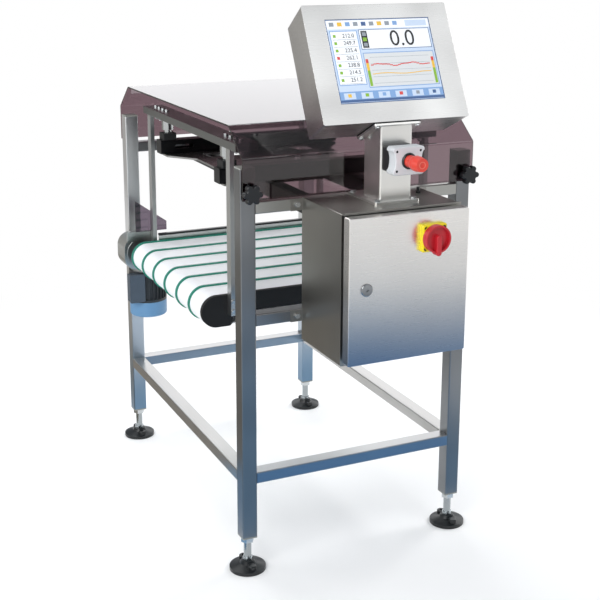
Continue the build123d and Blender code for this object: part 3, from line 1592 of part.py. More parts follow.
with BuildPart() as estop_collar:
    with BuildSketch(upright(stop_face_y)):
        with Locations((pedestal_x, stop_z)):
            Circle(collar_radius)
            Circle(button_neck_radius + collar_gap, mode=Mode.SUBTRACT)
    extrude(amount=collar_height)
    outer_rim = estop_collar.edges().filter_by(GeomType.CIRCLE).group_by(Axis.Y)[0]
    chamfer(outer_rim.sort_by(SortBy.RADIUS)[-1], length=collar_height / 2)
estop_collar.part.label = "estop_collar"
export_step(estop_collar.part, "parts/estop_collar.step")

with BuildPart() as estop_stem:
    with BuildSketch(upright(button_back_y)):
        with Locations((pedestal_x, stop_z)):
            Circle(stop_stem_radius)
    extrude(amount=-stop_stem_length)
estop_stem.part.label = "estop_stem"
export_step(estop_stem.part, "parts/estop_stem.step")

# Mushroom head: straight neck, flare, dished nose. Profile of (radius, y) points.
button_front_y = stop_face_y - button_length
flare_y = stop_face_y - stop_travel - button_neck
nose_y = button_front_y + button_nose
estop_head = turned_along_y(pedestal_x, stop_z, [
    (0, button_back_y - seat_gap),
    (button_neck_radius, button_back_y - seat_gap),
    (button_neck_radius, flare_y),
    (button_head_radius, flare_y - button_flare),
    (button_head_radius, nose_y),
    (button_head_radius - button_rim / 2, button_front_y),
    (button_dish_radius, button_front_y),
    (0, button_front_y + button_dish),
])
estop_head.part.label = "estop_head"
export_step(estop_head.part, "parts/estop_head.step")


def bolts(plane, places, length, radius=bolt_radius, head_radius=bolt_head_radius,
          head=bolt_head):
    """Hexagon bolts: heads stand on the plane, shanks run into it."""
    with BuildPart() as group:
        with BuildSketch(plane):
            with Locations(*places):
                RegularPolygon(head_radius, 6)
        extrude(amount=head)
        with BuildSketch(plane):
            with Locations(*places):
                Circle(radius)
        extrude(amount=-length)
    return group


def nuts(plane, places, radius=bolt_radius, outer_radius=bolt_head_radius, height=bolt_nut):
    """Hexagon nuts standing on the plane."""
    with BuildPart() as group:
        with BuildSketch(plane):
            with Locations(*places):
                RegularPolygon(outer_radius, 6)
                Circle(radius + running_gap, mode=Mode.SUBTRACT)
        extrude(amount=height)
    return group


def underside(z):
    """Horizontal plane at height z that looks down; its y axis is turned round."""
    return Plane(origin=(0, 0, z), x_dir=(1, 0, 0), z_dir=(0, 0, -1))


row_ends = [weigh_tube_y + n * row_bolt_pitch for n in range(1, row_bolts)]
bar_nut_places = [
    (sx * crossbar_x, sy * row_ends[0]) for sx in (-1, 1) for sy in (-1, 1)
]
foot_nut_places = [
    (sx * crossbar_x, sy * y) for sx in (-1, 1) for sy in (-1, 1) for y in row_ends[1:]
]
small = {"radius": post_bolt_radius, "head_radius": post_bolt_head_radius,
         "head": small_bolt_head}
post_bolt_places = [(sx * post_x, z) for sx in (-1, 1) for z in post_bolt_levels]
post_bolt_length = post_width + post_bolt_grip
front_posts = upright(-post_back_y)
back_posts = Plane(origin=(0, post_back_y, 0), x_dir=(-1, 0, 0), z_dir=(0, 1, 0))
behind_cover = Plane(origin=rear.offset(-rear_cover).origin, x_dir=(-1, 0, 0),
                     z_dir=-rear.z_dir)
below_flange = Plane(origin=flange_top.offset(-top_flange_thickness).origin,
                     x_dir=(1, 0, 0), z_dir=-seat.z_dir)
fasteners = [
    bolts(level(crossbar_top_z), row_places, row_bolt_length),
    nuts(underside(crossbar_bottom_z), bar_nut_places),
    nuts(underside(crossbar_bottom_z - post_foot_thickness), foot_nut_places),
    bolts(underside(plate_bottom_z), pad_places, short_bolt_length),
    nuts(level(weigh_tube_bottom_z + tube_wall), pad_places),
    bolts(level(plate_bottom_z + plate_thickness), cell_bolt_places, cell_bolt_length),
    bolts(underside(beam_bottom_z - base_thickness),
          [(-x, y) for x, y in cell_bolt_places], cell_bolt_length),
    bolts(front_posts, post_bolt_places, post_bolt_length, **small),
    bolts(back_posts, post_bolt_places, post_bolt_length, **small),
    bolts(upright(cabinet_back_y - lug_thickness), lug_places, short_bolt_length),
    bolts(level(column_z), foot_bolt_places, short_bolt_length),
    nuts(underside(cabinet_top_z - cabinet_wall), [(x, -y) for x, y in foot_bolt_places]),
    bolts(upright(panel_y), panel_places, small_bolt_length, **small),
    bolts(behind_cover, [(-x, y) for x, y in cover_screw_places], small_bolt_length, **small),
    bolts(below_flange, [(x, -y) for x, y in top_bolt_places], short_bolt_length, **small),
]
with BuildPart() as lock_nuts:
    with BuildSketch(level(leg_foot_z - plug_flange)):
        with Locations(*corners):
            RegularPolygon(nut_radius, 6)
            Circle(stem_radius + running_gap, mode=Mode.SUBTRACT)
    extrude(amount=-nut_height)
fasteners.append(lock_nuts)
hex_bolts = Compound(label="hex_bolts", children=[group.part for group in fasteners])
export_step(hex_bolts, "parts/hex_bolts.step")
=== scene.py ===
import math

import bpy
from mathutils import Matrix, Vector


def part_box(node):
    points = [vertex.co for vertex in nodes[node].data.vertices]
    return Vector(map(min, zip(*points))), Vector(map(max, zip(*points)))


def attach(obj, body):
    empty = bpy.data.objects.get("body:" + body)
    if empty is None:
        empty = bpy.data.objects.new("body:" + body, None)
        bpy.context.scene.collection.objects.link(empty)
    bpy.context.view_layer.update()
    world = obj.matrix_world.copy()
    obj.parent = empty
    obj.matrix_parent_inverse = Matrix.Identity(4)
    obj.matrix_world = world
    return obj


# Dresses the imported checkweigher: finishes for the machined, folded and moulded pieces,
# the terminal's display, small screws and markings, soft studio light and the camera.
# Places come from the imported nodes. Lengths are in metres unless a name ends in _MM or _mm.

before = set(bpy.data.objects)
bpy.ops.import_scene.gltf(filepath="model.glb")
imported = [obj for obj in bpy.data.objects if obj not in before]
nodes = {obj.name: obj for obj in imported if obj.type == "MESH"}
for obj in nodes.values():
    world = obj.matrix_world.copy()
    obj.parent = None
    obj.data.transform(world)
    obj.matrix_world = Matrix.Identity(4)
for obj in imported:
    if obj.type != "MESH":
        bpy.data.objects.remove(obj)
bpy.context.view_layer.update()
MM = 0.001


# Small helpers

def linear(hex_colour):
    """RGBA in linear light from an sRGB hex colour."""
    rgb = [int(hex_colour[i:i + 2], 16) / 255 for i in (1, 3, 5)]
    return tuple(
        c / 12.92 if c <= 0.04045 else ((c + 0.055) / 1.055) ** 2.4 for c in rgb
    ) + (1.0,)


def add_node(tree, kind, settings=None, **links):
    """Adds one node. Settings are attributes; links fill inputs with a value or a socket."""
    node = tree.nodes.new(kind)
    for name, value in (settings or {}).items():
        setattr(node, name, value)
    for name, value in links.items():
        key = int(name[1:]) if name[0] == "i" and name[1:].isdigit() else name.replace("_", " ")
        socket = node.inputs[key]
        if isinstance(value, bpy.types.NodeSocket):
            tree.links.new(value, socket)
        else:
            socket.default_value = value
    return node


def bare_tree(block):
    """An empty node tree of a material or a world."""
    block.use_nodes = True
    block.node_tree.nodes.clear()
    return block.node_tree


def new_material(name, **values):
    """A material with one Principled shader; values are set on the shader's own sockets."""
    material = bpy.data.materials.new(name)
    tree = bare_tree(material)
    shader = add_node(tree, "ShaderNodeBsdfPrincipled", **values)
    add_node(tree, "ShaderNodeOutputMaterial", Surface=shader.outputs[0])
    return material, tree, shader


def object_place(tree, scale):
    """Place on the piece in its own axes, stretched by scale (per metre)."""
    place = add_node(tree, "ShaderNodeTexCoord")
    return add_node(
        tree, "ShaderNodeMapping", Vector=place.outputs["Object"], Scale=scale
    ).outputs[0]


def softened_edges(tree, shader, radius_mm, height=None, strength=0.0):
    """Rounds sharp edges for the light, with an optional fine relief on top."""
    edge = add_node(
        tree, "ShaderNodeBevel", {"samples": 4}, Radius=radius_mm * MM
    ).outputs[0]
    if height is not None:
        edge = add_node(
            tree, "ShaderNodeBump", Strength=strength, Distance=RELIEF_DEPTH_MM * MM,
            Height=height, Normal=edge,
        ).outputs[0]
    tree.links.new(edge, shader.inputs["Normal"])


# Kinds of finish

GRAIN_PITCH_MM = 1.2      # real grinding lines are near 0.1 mm; coarser here so that they show
GRAIN_STRETCH = 60.0      # a grinding line is this many times longer than it is wide
CLOUD_PITCH_MM = 160.0    # slow change of tone across a sheet
RELIEF_DEPTH_MM = 0.05    # depth of grinding lines and of the grain on moulded pieces
GROUND_RELIEF = 0.035     # share of that depth that the grinding lines show
GROUND_SPREAD = 0.025     # roughness of the lines, up and down from the sheet's own
SHEET_EDGE_MM = 0.8       # deburred edges of sheet and tube
MOULDED_EDGE_MM = 0.7
TURNED_EDGE_MM = 0.5
UPWARD_FROM, UPWARD_FULL = 0.5, 0.95    # upward part of a normal where the painted top reflection sets in


def ground_steel(name, dark, light, rough, along, painted_low_tone=None, painted_top_reflection=None):
    """Stainless steel with a ground finish: fine lines along one axis, soft reflections.

    The low tone is painted light, a colour that takes over towards a lower height: colour, low
    and high in metres. It paints a blue reflection on the back legs and the door, and on the
    front upper rail the pale colour below its painted shade.
    The top tone is a painted reflection: the colour of faces that look up.
    """
    material, tree, shader = new_material(name, Metallic=1.0)
    fine = 1 / (GRAIN_PITCH_MM * MM)
    scale = [fine] * 3
    scale["XYZ".index(along)] = fine / GRAIN_STRETCH
    lines = add_node(
        tree, "ShaderNodeTexNoise", Vector=object_place(tree, scale), Scale=1.0, Detail=2.0,
    ).outputs[0]
    slow = 1 / (CLOUD_PITCH_MM * MM)
    clouds = add_node(
        tree, "ShaderNodeTexNoise", Vector=object_place(tree, [slow] * 3), Scale=1.0,
        Detail=1.0,
    ).outputs[0]
    tone = add_node(
        tree, "ShaderNodeMix", {"data_type": "RGBA"},
        Factor=clouds, i6=linear(dark), i7=linear(light),
    ).outputs[2]
    # Painted light: a blue reflection low down, and on the front upper rail the pale colour
    # below its painted shade.
    if painted_low_tone:
        colour, low, high = painted_low_tone
        place = add_node(tree, "ShaderNodeTexCoord").outputs["Object"]
        height = add_node(tree, "ShaderNodeSeparateXYZ", Vector=place).outputs["Z"]
        painted_low_share = add_node(
            tree, "ShaderNodeMapRange", {"interpolation_type": "SMOOTHSTEP"},
            Value=height, i1=low, i2=high,
        ).outputs[0]
        tone = add_node(
            tree, "ShaderNodeMix", {"data_type": "RGBA"},
            Factor=painted_low_share, i6=linear(colour), i7=tone,
        ).outputs[2]
    # Painted reflection: faces that look up take a paler colour.
    if painted_top_reflection:
        facing = add_node(tree, "ShaderNodeTexCoord").outputs["Normal"]
        upward = add_node(tree, "ShaderNodeSeparateXYZ", Vector=facing).outputs["Z"]
        share = add_node(
            tree, "ShaderNodeMapRange", Value=upward, i1=UPWARD_FROM, i2=UPWARD_FULL
        ).outputs[0]
        tone = add_node(
            tree, "ShaderNodeMix", {"data_type": "RGBA"},
            Factor=share, i6=tone, i7=linear(painted_top_reflection),
        ).outputs[2]
    tree.links.new(tone, shader.inputs["Base Color"])
    line_rough = add_node(
        tree, "ShaderNodeMapRange",
        Value=lines, i3=rough - GROUND_SPREAD, i4=rough + GROUND_SPREAD,
    ).outputs[0]
    tree.links.new(line_rough, shader.inputs["Roughness"])
    softened_edges(tree, shader, SHEET_EDGE_MM, height=lines, strength=GROUND_RELIEF)
    return material


def moulded(name, colour, rough, ior=1.5, grain_mm=0.8, relief=0.05):
    """Moulded plastic, rubber or a painted casting: even colour, faint grain of its mould."""
    material, tree, shader = new_material(
        name, Base_Color=linear(colour), Roughness=rough, IOR=ior
    )
    grain = add_node(
        tree, "ShaderNodeTexNoise",
        Vector=object_place(tree, [1 / (grain_mm * MM)] * 3), Scale=1.0, Detail=2.0,
    ).outputs[0]
    softened_edges(tree, shader, MOULDED_EDGE_MM, height=grain, strength=relief)
    return material


def plain_metal(name, colour, rough, edge_mm=TURNED_EDGE_MM):
    """Turned, cast, milled or plated metal with an even reflection."""
    material, tree, shader = new_material(
        name, Base_Color=linear(colour), Metallic=1.0, Roughness=rough
    )
    softened_edges(tree, shader, edge_mm)
    return material


# Finishes, each with its colours, shine and what it gives the eye

# Ground stainless steel comes first. Tubes are ground along their length, so each direction
# has its own. In the photograph the steel mirrors a blue room low down, which is a blue tone
# here.

# Front legs: mid grey with upright lines.
leg_steel = ground_steel("stainless_tube_ground_upright", "#76787a", "#909294", 0.3, "Z")

# Back legs: painted light makes them paler than the front legs, as they stand against the light,
# with a painted blue reflection at the foot.
LEG_REFLECTION_LOW, LEG_REFLECTION_HIGH = 0.1, 0.5
back_leg_steel = ground_steel(
    "stainless_tube_ground_upright_painted_light", "#d8dadc", "#e8eaea", 0.3, "Z",
    ("#6c879f", LEG_REFLECTION_LOW, LEG_REFLECTION_HIGH),
)

# Middle rail and back upper rail: mid grey with level lines.
rail_steel = ground_steel("stainless_tube_ground_along_x", "#808285", "#98999b", 0.3, "X")

# Lower rails at front and back: sides in a painted slate blue reflection under a painted pale
# reflection on top.
low_rail_steel = ground_steel(
    "stainless_tube_ground_low_rail_painted_reflection", "#75889b", "#8799aa", 0.3, "X", painted_top_reflection="#c6c5c5"
)

# Lower rails at the sides: warm pale grey, with a painted paler reflection on top.
side_rail_steel = ground_steel(
    "stainless_tube_ground_along_y_painted_top", "#a5a3a0", "#bfbdba", 0.3, "Y", painted_top_reflection="#cac8c6"
)

# Front upper rail: painted shade makes it near black behind the hood's skirt; it is pale where
# it shows under the skirt.
SKIRT_SHADE_FADE_BELOW, SKIRT_SHADE_FADE_ABOVE = 0.006, 0.004
skirt_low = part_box("hood")[0].z
painted_shade_rail_steel = ground_steel(
    "stainless_tube_ground_painted_shade", "#17181a", "#222325", 0.36, "X",
    ("#b4b3ae", skirt_low - SKIRT_SHADE_FADE_BELOW, skirt_low + SKIRT_SHADE_FADE_ABOVE),
)

# Weigh tubes and the load cell's beams: painted shade makes them dark grey under the smoked
# hood.
painted_shade_frame_steel = ground_steel(
    "stainless_tube_ground_weigh_frame_painted_shade", "#2a2b2d", "#37383a", 0.34, "Y"
)

# Cabinet body: warm mid grey folded sheet.
cabinet_steel = ground_steel(
    "stainless_sheet_ground_cabinet", "#8e8c87", "#a3a19c", 0.34, "Y"
)

# Cabinet door: bright sheet with a painted blue reflection towards its lower edge.
DOOR_REFLECTION_BELOW, DOOR_REFLECTION_ABOVE = 0.04, 0.22    # from the door's lower edge
door_low_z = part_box("cabinet_door")[0].z
door_steel = ground_steel(
    "stainless_sheet_ground_door_painted_reflection", "#e6e3df", "#f6f3ef", 0.28, "X",
    ("#6f86a2", door_low_z - DOOR_REFLECTION_BELOW, door_low_z + DOOR_REFLECTION_ABOVE),
)

# Pedestal: bright upright lines.
pedestal_steel = ground_steel(
    "stainless_sheet_ground_upright", "#e4e3df", "#f1f0ec", 0.3, "Z"
)

# Operator terminal: bright sheet with the widest change of tone.
terminal_steel = ground_steel(
    "stainless_sheet_ground_terminal", "#b2b1b0", "#ebebe9", 0.28, "X"
)

# Flat plates inside: even mid grey.
plate_steel = ground_steel("stainless_plate_cut", "#9a9a98", "#b0b0ae", 0.28, "Y")

# Smoked polycarbonate sheet: clear through, brown to violet against the light, glossy.
smoked_sheet = new_material(
    "polycarbonate_sheet_smoked", Base_Color=linear("#786269"), Roughness=0.03, IOR=1.585,
    Transmission_Weight=1.0,
)[0]

# White PVC conveyor belt: matt fabric-backed sheet with a faint sheen.
belt_white = moulded("pvc_belt_white", "#f6f8fb", 0.42, ior=1.53, grain_mm=1.5, relief=0.1)

# Cast polyurethane ribs: deep green with a soft shine.
rib_green = moulded("polyurethane_rib_green", "#0d7f6a", 0.35, ior=1.5)

# Milled polyethylene side plates: matt black.
side_black = moulded("polyethylene_plate_black", "#050506", 0.68, ior=1.51, grain_mm=2.0)

# Injection-moulded polyamide: satin, in black, grey, red and yellow.
trim_black = moulded("polyamide_black", "#15171a", 0.42, ior=1.53)
device_grey = moulded("polyamide_device_grey", "#5b6066", 0.45, ior=1.53)
cap_grey = moulded("polyamide_grey", "#8b8d88", 0.42, ior=1.53)
handle_red = moulded("polyamide_red", "#c41f2c", 0.32, ior=1.53)
plate_yellow = moulded("polyamide_yellow", "#f0dc0c", 0.36, ior=1.53)

# Moulded rubber: black and dull.
rubber_black = moulded("rubber_black", "#0e0f10", 0.6, ior=1.52)

# Moulded ABS cover of the emergency stop: pale grey, satin.
housing_grey = moulded("abs_light_grey", "#d9dcdf", 0.38, ior=1.53)

# Moulded acetal button: orange red with a soft gloss, and a paler ring on its face.
button_red = moulded("acetal_red", "#e2483a", 0.3, ior=1.48)
ring_red = moulded("acetal_red_ring", "#f07a68", 0.35, ior=1.48)

# Enamel on the drive's castings: slate blue box, graphite motor, blue fan cover.
box_paint = moulded("enamel_slate_blue", "#46525f", 0.36, ior=1.52)
motor_paint = moulded("enamel_graphite", "#2a2f33", 0.4, ior=1.52, grain_mm=2.5, relief=0.12)
fan_cover_paint = moulded("enamel_blue", "#6390b8", 0.34, ior=1.52)

# Aluminium: cast silver, grey where it is milled, pale where it is anodised.
cast_silver = plain_metal("cast_aluminium_silver", "#c3c6c4", 0.36)
bar_aluminium = plain_metal("milled_aluminium", "#858887", 0.34)
post_aluminium = plain_metal("anodised_aluminium", "#c3c5c4", 0.36)

# Steel that is turned, zinc-plated or burnished: bright, bright with crisp edges, and dark.
turned_steel = plain_metal("turned_steel_bright", "#b9bcbc", 0.2)
zinc_steel = plain_metal("zinc_plated_steel", "#c9cccd", 0.24, edge_mm=0.3)
screw_dark = plain_metal("burnished_steel_screw", "#35383b", 0.35, edge_mm=0.2)

# Chrome on the cast zinc lock: sharp reflections, darker than the door around it.
chrome = plain_metal("chrome_plated_zinc", "#94979a", 0.1, edge_mm=0.3)


def paint(material, *names):
    """Gives CAD nodes a finish."""
    for name in names:
        slots = nodes[name].data.materials
        if len(slots):
            slots[0] = material
        else:
            slots.append(material)


paint(leg_steel, "leg_front_left", "leg_front_right")
paint(back_leg_steel, "leg_back_left", "leg_back_right")
paint(low_rail_steel, "lower_rails_long")
paint(rail_steel, "middle_rail", "upper_rail_back")
# Painted shade: the front upper rail is near black behind the hood's skirt.
paint(painted_shade_rail_steel, "upper_rail_front")
# Painted shade: the weigh tubes and beams are dark grey under the hood.
paint(painted_shade_frame_steel, "weigh_tubes", "load_cell_beams")
paint(side_rail_steel, "lower_rails_side")
paint(cabinet_steel, "cabinet_body")
paint(door_steel, "cabinet_door")
paint(pedestal_steel, "pedestal")
paint(terminal_steel, "hmi_housing", "hmi_rear_cover")
paint(plate_steel, "carrier_plate", "slider_bed", "mounting_plate")
paint(smoked_sheet, "hood")
paint(belt_white, "belt")
paint(rib_green, "belt_ribs")
paint(side_black, "side_plate_front", "side_plate_back")
paint(trim_black, "hood_knob_left", "hood_knob_right", "estop_base", "estop_collar",
      "cable_glands", "gearbox_flange")
paint(cap_grey, "leg_plugs")
paint(box_paint, "terminal_box")
paint(rubber_black, "buffer_pads", "gaskets")
paint(housing_grey, "estop_cover")
paint(button_red, "estop_head")
paint(handle_red, "isolator_handle")
paint(plate_yellow, "isolator_plate")
paint(device_grey, "control_gear")
paint(motor_paint, "motor")
paint(fan_cover_paint, "fan_cover", "motor_fan")
paint(cast_silver, "gearbox")
paint(bar_aluminium, "crossbars", "load_cell")
paint(post_aluminium, "hanger_posts")
paint(turned_steel, "standoffs", "drive_drum", "tail_drum", "drum_bearings", "estop_stem")
paint(zinc_steel, "hex_bolts", "door_hinges")
paint(chrome, "door_lock")


# Levelling foot: satin glass-filled polyamide pad, bright turned stem above it.

PAD_TOP_MM = 25.4
PAD_ROUGH, STEM_ROUGH = 0.3, 0.16
foot_finish, tree, shader = new_material("polyamide_pad_and_steel_stem", IOR=1.5)
place = add_node(tree, "ShaderNodeTexCoord").outputs["Object"]
height = add_node(tree, "ShaderNodeSeparateXYZ", Vector=place).outputs["Z"]
on_stem = add_node(
    tree, "ShaderNodeMath", {"operation": "GREATER_THAN"}, i0=height, i1=PAD_TOP_MM * MM
).outputs[0]
colour = add_node(
    tree, "ShaderNodeMix", {"data_type": "RGBA"},
    Factor=on_stem, i6=linear("#15181a"), i7=linear("#a3a8aa"),
).outputs[2]
rough = add_node(
    tree, "ShaderNodeMapRange", Value=on_stem, i3=PAD_ROUGH, i4=STEM_ROUGH
).outputs[0]
tree.links.new(colour, shader.inputs["Base Color"])
tree.links.new(on_stem, shader.inputs["Metallic"])
tree.links.new(rough, shader.inputs["Roughness"])
softened_edges(tree, shader, SHEET_EDGE_MM)
paint(foot_finish, "foot_front_left", "foot_front_right", "foot_back_left", "foot_back_right")


# Belt guards: a brushed guide rail with a black cap, and a smoked cover over the drive end.

GUIDE_BACK_MM = 320.0
CAP_BOTTOM_MM = 707.0
RAIL_ROUGH, COVER_ROUGH = 0.32, 0.05
guard_finish, tree, shader = new_material("guide_rail_and_smoked_cover", IOR=1.585)
place = add_node(tree, "ShaderNodeTexCoord").outputs["Object"]
axes = add_node(tree, "ShaderNodeSeparateXYZ", Vector=place)
is_cover = add_node(
    tree, "ShaderNodeMath", {"operation": "GREATER_THAN"},
    i0=axes.outputs["Y"], i1=GUIDE_BACK_MM * MM,
).outputs[0]
is_steel = add_node(
    tree, "ShaderNodeMath", {"operation": "LESS_THAN"},
    i0=axes.outputs["Z"], i1=CAP_BOTTOM_MM * MM,
).outputs[0]
rail_only = add_node(
    tree, "ShaderNodeMath", {"operation": "SUBTRACT"}, i0=1.0, i1=is_cover
).outputs[0]
metal = add_node(
    tree, "ShaderNodeMath", {"operation": "MULTIPLY"}, i0=is_steel, i1=rail_only
).outputs[0]
rail_colour = add_node(
    tree, "ShaderNodeMix", {"data_type": "RGBA"},
    Factor=is_steel, i6=linear("#101214"), i7=linear("#e4e4e2"),
).outputs[2]
colour = add_node(
    tree, "ShaderNodeMix", {"data_type": "RGBA"},
    Factor=is_cover, i6=rail_colour, i7=linear("#6f6270"),
).outputs[2]
rough = add_node(
    tree, "ShaderNodeMapRange", Value=is_cover, i3=RAIL_ROUGH, i4=COVER_ROUGH
).outputs[0]
tree.links.new(colour, shader.inputs["Base Color"])
tree.links.new(metal, shader.inputs["Metallic"])
tree.links.new(is_cover, shader.inputs["Transmission Weight"])
tree.links.new(rough, shader.inputs["Roughness"])
paint(guard_finish, "belt_guards")


# Display: pale glass, and a picture on it of bars, numbers and a weight chart as thin plates

SCREEN_GLOW = 0.25    # the display's own light, beside what it reflects
screen_glass = new_material(
    "display_glass", Base_Color=linear("#b9c6d6"), Roughness=0.2, IOR=1.5,
    Emission_Color=linear("#b9c6d6"), Emission_Strength=SCREEN_GLOW,
)[0]
paint(screen_glass, "hmi_screen")


def display_ink(name, colour):
    """A lit colour of the display: partly its own light, partly the room's."""
    return new_material(
        name, Base_Color=linear(colour), Roughness=0.25, IOR=1.5,
        Emission_Color=linear(colour), Emission_Strength=SCREEN_GLOW,
    )[0]


INK = {
    "white": display_ink("display_white", "#eef1f5"),
    "paper": display_ink("display_chart_paper", "#d3d6d8"),
    "pale": display_ink("display_pale_blue", "#c3d3e8"),
    "blue": display_ink("display_blue", "#7ba0cf"),
    "navy": display_ink("display_navy", "#3d5c8c"),
    "ink": display_ink("display_ink", "#15181c"),
    "green": display_ink("display_green", "#7fae2e"),
    "amber": display_ink("display_amber", "#e2b53c"),
    "red": display_ink("display_red", "#d0403c"),
    "grey": display_ink("display_grey", "#8b939c"),
}

TERMINAL_TILT = math.radians(26.3)
TERMINAL_FACE = Vector((0.016, -0.577, 1.2993))    # middle of the terminal's front
PICTURE_CENTRE_MM = (0.0, 6.0)                     # from there, in the front's own plane
GLASS_RECESS_MM = 1.0
PLATE_STEP_MM = 0.12                               # thickness of one layer of the picture

face_x = Vector((1, 0, 0))
face_y = Vector((0, math.sin(TERMINAL_TILT), math.cos(TERMINAL_TILT)))
face_out = Vector((0, -math.cos(TERMINAL_TILT), math.sin(TERMINAL_TILT)))
FACE = Matrix((
    (face_x.x, face_y.x, face_out.x, TERMINAL_FACE.x),
    (face_x.y, face_y.y, face_out.y, TERMINAL_FACE.y),
    (face_x.z, face_y.z, face_out.z, TERMINAL_FACE.z),
    (0, 0, 0, 1),
))


def mesh_object(name, vertices, faces, material, body):
    """A mesh of row-frame vertices that moves with a body."""
    mesh = bpy.data.meshes.new(name)
    mesh.from_pydata([tuple(v) for v in vertices], [], faces)
    mesh.materials.append(material)
    made = bpy.data.objects.new(name, mesh)
    bpy.context.scene.collection.objects.link(made)
    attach(made, body)
    return made


def prism(name, outline, low, high, place, material, body="frame"):
    """A flat outline in mm, raised from low to high mm along the third axis of a place."""
    count = len(outline)
    points = [
        place @ Vector((x * MM, y * MM, level * MM)) for level in (low, high) for x, y in outline
    ]
    sides = [(i, (i + 1) % count, count + (i + 1) % count, count + i) for i in range(count)]
    caps = [tuple(range(count - 1, -1, -1)), tuple(range(count, 2 * count))]
    return mesh_object(name, points, sides + caps, material, body)


def tile(name, x, y, width, height, ink, layer=1):
    """One plate of the display picture, centred on x and y of the display, in mm."""
    left, right = x - width / 2, x + width / 2
    bottom, top = (PICTURE_CENTRE_MM[1] + y + side * height / 2 for side in (-1, 1))
    level = -GLASS_RECESS_MM + PLATE_STEP_MM * layer
    outline = [(left, bottom), (right, bottom), (right, top), (left, top)]
    return prism(name, outline, level - PLATE_STEP_MM, level, FACE, INK[ink])


def number(name, digits, x, y, size):
    """Dark digits on the display, centred on x and y, in mm."""
    curve = bpy.data.curves.new(name, "FONT")
    curve.body = digits
    curve.size = size * MM
    curve.align_x = "CENTER"
    curve.align_y = "CENTER"
    curve.extrude = PLATE_STEP_MM * MM / 2
    curve.resolution_u = 4
    draft = bpy.data.objects.new(name + "_draft", curve)
    mesh = bpy.data.meshes.new_from_object(draft)
    bpy.data.objects.remove(draft)
    bpy.data.curves.remove(curve)
    level = -GLASS_RECESS_MM + PLATE_STEP_MM * MARK_LAYER
    shift = Vector((x * MM, (PICTURE_CENTRE_MM[1] + y) * MM, level * MM))
    mesh.transform(FACE @ Matrix.Translation(shift))
    mesh.materials.clear()
    mesh.materials.append(INK["ink"])
    made = bpy.data.objects.new(name, mesh)
    bpy.context.scene.collection.objects.link(made)
    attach(made, "frame")
    return made


# Layout of the picture in mm from its middle. Plates of a higher layer lie on lower ones.
EDGE_LAYER, FIELD_LAYER, MARK_LAYER, TRACE_LAYER = 2, 3, 4, 5
PICTURE_WIDE, PICTURE_HIGH = 274.0, 202.0
BORDER_WIDE = 2
FIELD_RIM = 4            # an edge plate is larger than its field by this, both sides together

tile("display_ground", 0, 0, PICTURE_WIDE, PICTURE_HIGH, "pale")
tile("display_border", 0, 0, PICTURE_WIDE + 2 * BORDER_WIDE, PICTURE_HIGH + 2 * BORDER_WIDE,
     "navy", 0.5)

TOP_SIGNS = ("grey", "amber", "blue", "grey", "navy", "grey", "amber", "grey", "blue")
TOP_BAR_Y, TOP_SIGN_X, TOP_SIGN_PITCH = 90, -124, 21
tile("display_top_bar", 0, TOP_BAR_Y, PICTURE_WIDE, 22, "white", EDGE_LAYER)
for sign, ink in enumerate(TOP_SIGNS):
    tile(f"display_top_sign_{sign}", TOP_SIGN_X + sign * TOP_SIGN_PITCH, TOP_BAR_Y + 1,
         12, 10, ink, FIELD_LAYER)
tile("display_clock_field", 101, TOP_BAR_Y, 58, 15, "pale", FIELD_LAYER)

BUTTON_SIGNS = ("amber", "green", "blue", "red", "grey", "navy")
MENU_BAR_Y, MENU_SHADE_Y, BUTTON_X, BUTTON_Y, BUTTON_PITCH = -87, -97, -112, -85, 45
tile("display_menu_bar", 0, MENU_BAR_Y, PICTURE_WIDE, 26, "blue", EDGE_LAYER)
tile("display_menu_shade", 0, MENU_SHADE_Y, PICTURE_WIDE, 6, "navy", 2.5)

COLUMN_X, COLUMN_WIDE = 38, 190    # the weight field and the chart below it
WEIGHT_Y, WEIGHT_HIGH = 52, 50
tile("display_weight_edge", COLUMN_X, WEIGHT_Y, COLUMN_WIDE, WEIGHT_HIGH, "navy", EDGE_LAYER)
tile("display_weight_field", COLUMN_X, WEIGHT_Y, COLUMN_WIDE - 3, WEIGHT_HIGH - 3, "white",
     FIELD_LAYER)
number("display_weight", "0.0", COLUMN_X + 18, WEIGHT_Y - 1, 56)

ZONE_LIGHTS = ("grey", "green", "grey")
ZONE_X, ZONE_TOP_Y, ZONE_PITCH = -44, 65, 13
tile("display_zone_light_frame", ZONE_X, WEIGHT_Y, 16, 42, "ink", MARK_LAYER)
for zone, ink in enumerate(ZONE_LIGHTS):
    tile(f"display_zone_light_{zone}", ZONE_X, ZONE_TOP_Y - zone * ZONE_PITCH, 10, 9, ink,
         TRACE_LAYER)

LIST_X, LIST_Y, LIST_WIDE, LIST_HIGH = -97, 8, 72, 134
LIST_ROWS, LIST_TOP_Y, LIST_PITCH, RED_ROW = 7, 62, 18, 3
tile("display_list_edge", LIST_X, LIST_Y, LIST_WIDE, LIST_HIGH, "blue", EDGE_LAYER)
tile("display_list_field", LIST_X, LIST_Y, LIST_WIDE - FIELD_RIM, LIST_HIGH - FIELD_RIM,
     "white", FIELD_LAYER)
for row in range(LIST_ROWS):
    row_y = LIST_TOP_Y - row * LIST_PITCH
    weight = f"{212 + (row * 37) % 61}.{(row * 7) % 10}"
    tile(f"display_list_rule_{row}", LIST_X, row_y - LIST_PITCH / 2, 62, 0.8, "grey",
         MARK_LAYER)
    number(f"display_list_value_{row}", weight, LIST_X + 11, row_y, 14)
    tile(f"display_list_mark_{row}", LIST_X - 25, row_y, 7, 7,
         "red" if row == RED_ROW else "green", MARK_LAYER)

